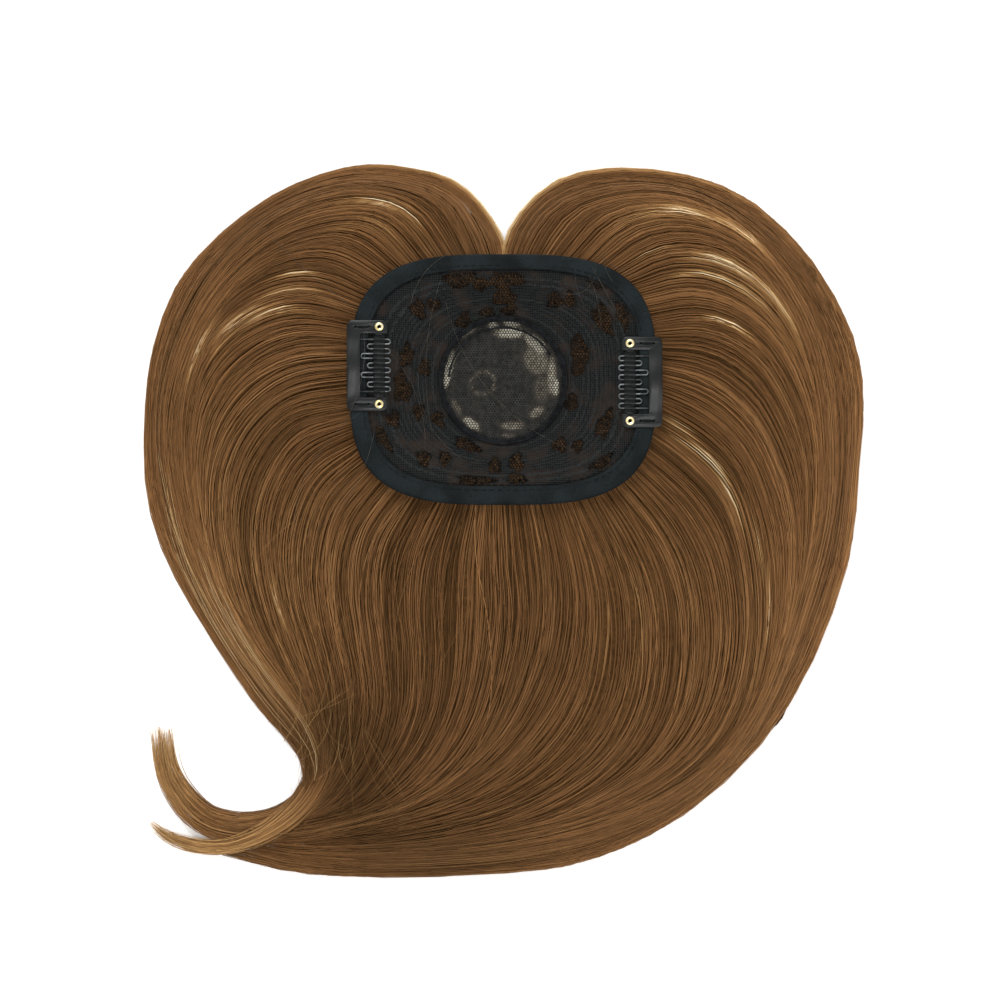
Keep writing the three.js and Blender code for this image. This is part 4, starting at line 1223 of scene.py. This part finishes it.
def make_window_net(material):
    def keep(x, y):
        share = lace_share(x, y)
        return (share > 0) & (share < 1.05) & in_window(x, y, 0.7)
    threads = hexagon_net(NET_PITCH, keep)
    piece = net_piece("window_net", threads, lambda x, y: lace_level(x, y) - 0.1, NET_THREAD)
    return dress(piece, material)


def make_wefts(material):
    """The roots of the hair that show through the lace's open windows."""
    stations = 5
    paths, gold_and_painted_highlight = [], []
    for x, y, half_x, half_y, _ in WINDOWS:
        middle = np.array([x, y])
        reach = max(half_x, half_y) + 1.2
        outward = math.atan2(y, x)
        for _ in range(int(8 * reach)):
            shift = rng.uniform(-reach, reach, 2)
            heading = outward + rng.normal(0, 0.5)
            line = np.linspace(-reach, reach, stations)[:, None]
            plan = middle + shift + line * [math.cos(heading), math.sin(heading)]
            plan += rng.normal(0, 0.15, plan.shape)
            if (rim_share(plan[:, 0], plan[:, 1], 2.5).max() > 1
                    or np.hypot(plan[:, 0], plan[:, 1]).min() < SEAM_RADIUS + 0.5):
                continue
            level = lace_level(plan[:, 0], plan[:, 1]) - 0.75 - rng.uniform(0, 0.9)
            paths.append(raised(plan, level))
            gold_and_painted_highlight.append(rng.uniform(0, 0.2) ** 1.5)
    tone = np.repeat(rng.uniform(0.0, 0.4, (len(paths), 1)), stations, axis=1)
    lay_fibres("hair_weft_roots", np.array(paths), 0.2,
               fibre_marks(tone, tone, np.array(gold_and_painted_highlight)[:, None]), material)


def make_crown(net, film, thread):
    """The crown's net, the film under it, the seams round both and the overcast thread."""
    def level(x, y):
        return CROWN_LEVEL - 0.1 - crown_drop(np.hypot(x, y), CROWN_RADIUS)
    threads = hexagon_net(CROWN_PITCH, lambda x, y: np.hypot(x, y) < CROWN_RADIUS)
    piece = net_piece("crown_mesh", threads, level, CROWN_THREAD)
    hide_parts("crown_net")
    dress(piece, net)

    dress(make_film(), film)

    profile = [(SEAM_RADIUS + out, CROWN_LEVEL + z) for out, z in SEAM_BEAD]
    ring = spun("crown_seam", profile, 120, (0, 0, 0))
    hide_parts("crown_ring")
    dress(ring, thread)

    arch = np.radians(np.linspace(30, 175, 60))
    line = np.stack([INNER_SEAM * np.cos(arch), INNER_SEAM * np.sin(arch) - 0.6,
                     np.full(60, CROWN_LEVEL + 0.1)], axis=-1)[None]
    inner = tubes("crown_inner_seam", line, 0.42, sides=6)
    dress(inner, thread)

    bearing = (FULL_TURN * np.arange(OVERCAST_TURNS) / OVERCAST_TURNS)[:, None]
    out = np.linspace(-1.1, 1.1, 6)[None, :]
    lean = bearing + 0.03 * out
    reach = SEAM_RADIUS + out + 0.15 * np.sin(7 * bearing)
    z = CROWN_LEVEL + 0.45 + 0.6 * (1 - (out / 1.2) ** 2) * np.ones(bearing.shape)
    paths = np.stack([reach * np.cos(lean), reach * np.sin(lean), z], axis=-1)
    turns = tubes("crown_overcast", paths, 0.15, sides=4)
    dress(turns, thread)


def make_film():
    """The round film under the crown's net: a thin closed disc that sags a little."""
    radii = np.linspace(0.4, PATCH_RADIUS, FILM_RINGS)
    bearing = FULL_TURN * np.arange(FILM_ACROSS) / FILM_ACROSS
    plan = radii[:, None, None] * np.stack([np.cos(bearing), np.sin(bearing)], axis=-1)[None]
    top = (PATCH_LEVEL - crown_drop(radii, PATCH_RADIUS))[:, None] * np.ones(FILM_ACROSS)
    upper = raised(plan, top)
    lower = upper[::-1] - [0, 0, FILM_WALL]
    points = np.concatenate([upper, lower])
    quads = ring_quads(len(points), FILM_ACROSS)
    first = np.arange(FILM_ACROSS)
    ends = [first[None], (first[::-1] + (len(points) - 1) * FILM_ACROSS)[None]]
    flat = points.reshape(-1, 3)
    film = array_mesh("scalp_film", flat, [quads.reshape(-1, 4), *ends])
    layer = film.data.attributes.new("cream", "FLOAT", "POINT")
    layer.data.foreach_set("value", creamy(flat[:, 0], flat[:, 1]).astype(np.float32))
    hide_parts("scalp_patch")
    return film


# Clips

def clip_places():
    """For each clip: its side, the middle of its outer edge, and which way is inwards."""
    for side, inward in (("left", 1), ("right", -1)):
        low, high, middle = box_mm(f"clip_plate_{side}")
        edge = low[0] if inward > 0 else high[0]
        yield side, np.array([edge, middle[1], low[2] + PLATE_WALL / 2]) - CENTRE, inward


def turn_half(piece, inward):
    """Turns a piece drawn for the left clip round for the right one."""
    if inward < 0:
        set_mesh_points(piece, mesh_points(piece) * [-1, -1, 1])
    return piece


def plate_outlines():
    half = PLATE_LENGTH / 2
    c = PLATE_CORNER
    n = 0.5
    outer = (arc((c, -half + c), c, 180, 270, 5)
             + arc((PLATE_DEPTH - c, -half + c), c, 270, 360, 5)
             + arc((PLATE_DEPTH - n, -WINDOW_END - n), n, 0, 90, 3)
             + arc((BAR_WIDTH + n, -WINDOW_END + n), n, 270, 180, 3)
             + arc((BAR_WIDTH + n, WINDOW_END - n), n, 180, 90, 3)
             + arc((PLATE_DEPTH - n, WINDOW_END + n), n, 270, 360, 3)
             + arc((PLATE_DEPTH - c, half - c), c, 0, 90, 5)
             + arc((c, half - c), c, 90, 180, 5))
    outlines = [outer]
    for end in (-1, 1):
        outlines.append(arc((EYELET_INSET, end * ARM_CENTRE), EYELET_RADIUS - 0.3, 0, 345, 23))
        for inset in SEWING_INSETS:
            outlines.append(arc((inset, end * ARM_CENTRE), SEWING_HOLE, 0, 330, 11))
    return outlines


def plate_bow(y):
    share = np.clip(y / WINDOW_END, -1, 1)
    return PLATE_BOW * (1 - share ** 2) ** 2


def make_plate(side, middle, inward, material):
    plate = plan_plate(f"snap_plate_{side}", plate_outlines(), PLATE_WALL, 0.12)
    for i in range(BOW_SPANS + 1):
        cut = WINDOW_END * (2 * i / BOW_SPANS - 1)
        edit(plate, (bpy.ops.mesh.bisect, {"plane_co": (0, cut, 0), "plane_no": (0, 1, 0)}))
    for vertex in plate.data.vertices:
        vertex.co.z += plate_bow(vertex.co.y)
    settle(turn_half(plate, inward), middle)
    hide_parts(f"clip_plate_{side}")
    return dress(plate, material)


def make_eyelets(side, middle, inward, material):
    top = PLATE_WALL / 2 + 0.1
    foot = -PLATE_WALL / 2 - 1.1
    profile = [(EYELET_BORE, foot), (1.05, foot), (1.05, top), (EYELET_RADIUS, top),
               (EYELET_RADIUS + 0.02, top + 0.12), (EYELET_RADIUS - 0.2, top + 0.34),
               (EYELET_RADIUS - 0.45, top + 0.38), (EYELET_BORE + 0.1, top + 0.22),
               (EYELET_BORE, top), (EYELET_BORE, foot)]
    for end in (-1, 1):
        spot = middle + np.array([inward * EYELET_INSET, inward * end * ARM_CENTRE, 0])
        which = "front" if inward * end > 0 else "back"
        piece = spun(f"brass_eyelet_{side}_{which}", profile, 32, spot)
        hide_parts(f"eyelet_{side}_{which}")
        dress(piece, material)


def wire_route():
    """The comb's wire, to and fro along X: teeth bend at -X and loops at +X."""
    bend = WIRE_PITCH / 2
    first = -WIRE_PITCH * (WIRE_RUNS - 1) / 2
    route = [(-LONG_TOOTH - 0.2, first)]
    for run in range(WIRE_RUNS - 1):
        outward = run % 2 == 0
        tooth = SHORT_TOOTH if run % 4 == 1 else LONG_TOOTH
        x = LOOP_REACH - bend if outward else bend - tooth
        y = first + WIRE_PITCH * (run + 0.5)
        for angle in np.linspace(-math.pi / 2, math.pi / 2, 7):
            swing = (1 if outward else -1) * bend * math.cos(angle)
            route.append((x + swing, y + bend * math.sin(angle)))
    route.append((-LONG_TOOTH - 0.2, -first))
    return np.array(route)


def make_comb(side, middle, inward, steel, rubber):
    """The comb's wire loops, and the soft sleeve that holds them to the clip."""
    level = WIRE_RADIUS - PLATE_WALL / 2 + 0.02
    route = wire_route()
    path = np.stack([inward * (route[:, 0] + EYELET_INSET) + middle[0],
                     inward * route[:, 1] + middle[1],
                     np.full(len(route), level + middle[2])], axis=-1)
    wire = tubes(f"comb_loops_{side}", path[None], WIRE_RADIUS, sides=8)
    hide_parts(f"comb_wire_{side}")
    dress(wire, steel, f"comb_{side}")

    half = SLEEVE_WALL / 2
    y = np.linspace(SLEEVE_END, -SLEEVE_END, 97)
    crest = half - 0.28 * (1 - np.abs(np.cos(np.pi * (y / WIRE_PITCH + 0.5)))) ** 0.7
    outline = [(-SLEEVE_END, -half), (SLEEVE_END, -half)] + list(zip(y, crest))
    sleeve = plan_plate(f"comb_cover_{side}", [outline], SLEEVE_WIDTH, 0.2)
    set_mesh_points(sleeve, mesh_points(sleeve)[:, [2, 0, 1]])
    spot = middle + np.array([inward * EYELET_INSET, 0, level])
    settle(turn_half(sleeve, inward), spot)
    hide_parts(f"comb_sleeve_{side}")
    dress(sleeve, rubber, f"comb_{side}")


def make_sewing(side, middle, inward, material):
    """Black thread through the two sewing holes of each arm."""
    paths = []
    for end in (-1, 1):
        for shift in (-0.2, 0.15):
            t = np.linspace(0, 1, 7)
            x = SEWING_INSETS[0] + (SEWING_INSETS[1] - SEWING_INSETS[0]) * t
            z = PLATE_WALL / 2 - 0.35 + 0.75 * np.sin(np.pi * t) ** 0.4
            y = np.full(7, end * ARM_CENTRE + shift)
            paths.append(np.stack([inward * x, inward * y, z], axis=-1) + middle)
    piece = tubes(f"sewing_thread_{side}", np.array(paths), 0.17, sides=5)
    return dress(piece, material)


def lacquer_material():
    # Spring steel in black lacquer: a clear, slightly worn gloss.
    material = new_material("black_lacquered_steel")
    noise = object_noise(material, 220.0, 4.0)
    colour = ramp(material, noise.outputs["Fac"], [(0.4, "#060707"), (0.7, "#0D0F0F")])
    rough = add(material, "ShaderNodeMapRange", {"Value": noise.outputs["Fac"]}, To_Min=0.26,
                To_Max=0.36)
    return finish_material(
        material, {"Base Color": colour, "Roughness": rough.outputs["Result"]},
        Specular_IOR_Level=0.28)


def metal_material(name, dark, light, roughness):
    # Polished brass or bright spring wire: small mirrors of the lamps, softly uneven.
    return mottled(name, 400.0, 3.0, [(0.35, dark), (0.6, light)], Roughness=roughness,
                   Metallic=1.0)


def rubber_material():
    # Soft moulded sleeve: dark and smoky, with the wires showing faintly through it.
    return mottled("dark_soft_rubber", 300.0, 2.0, [(0.3, "#060706"), (0.7, "#0E100F")],
                   Roughness=0.5, Specular_IOR_Level=0.15, Alpha=0.6)


def make_base():
    tape = binding_material()
    thread = thread_material("black_sewing_thread", "#0C0D0E", "#1B1D1F", 0.8)
    net_thread = thread_material("black_net_thread", "#101111", "#222322", 0.8)
    crown_thread = thread_material("grey_net_thread", "#2B2C2B", "#454643", 0.8)
    make_binding(tape)
    make_stitches(thread)
    make_lace(lace_material())
    make_window_net(net_thread)
    make_wefts(bpy.data.materials["combed_brown_fibre"])
    make_crown(crown_thread, patch_material(), thread)


def make_clips():
    lacquer = lacquer_material()
    brass = metal_material("polished_pale_brass", "#D9C48A", "#F1E6BE", 0.34)
    steel = metal_material("bright_spring_wire", "#3E4142", "#6C7070", 0.42)
    rubber = rubber_material()
    thread = bpy.data.materials["black_sewing_thread"]
    for side, middle, inward in clip_places():
        make_plate(side, middle, inward, lacquer)
        make_eyelets(side, middle, inward, brass)
        make_comb(side, middle, inward, steel, rubber)
        make_sewing(side, middle, inward, thread)
        for end in ("front", "back"):
            bpy.data.objects[f"strap_end_{side}_{end}"].material_slots[0].material = lacquer


make_stage()
make_lights()
bpy.ops.object.select_all(action="DESELECT")
make_hair()
make_base()
make_clips()
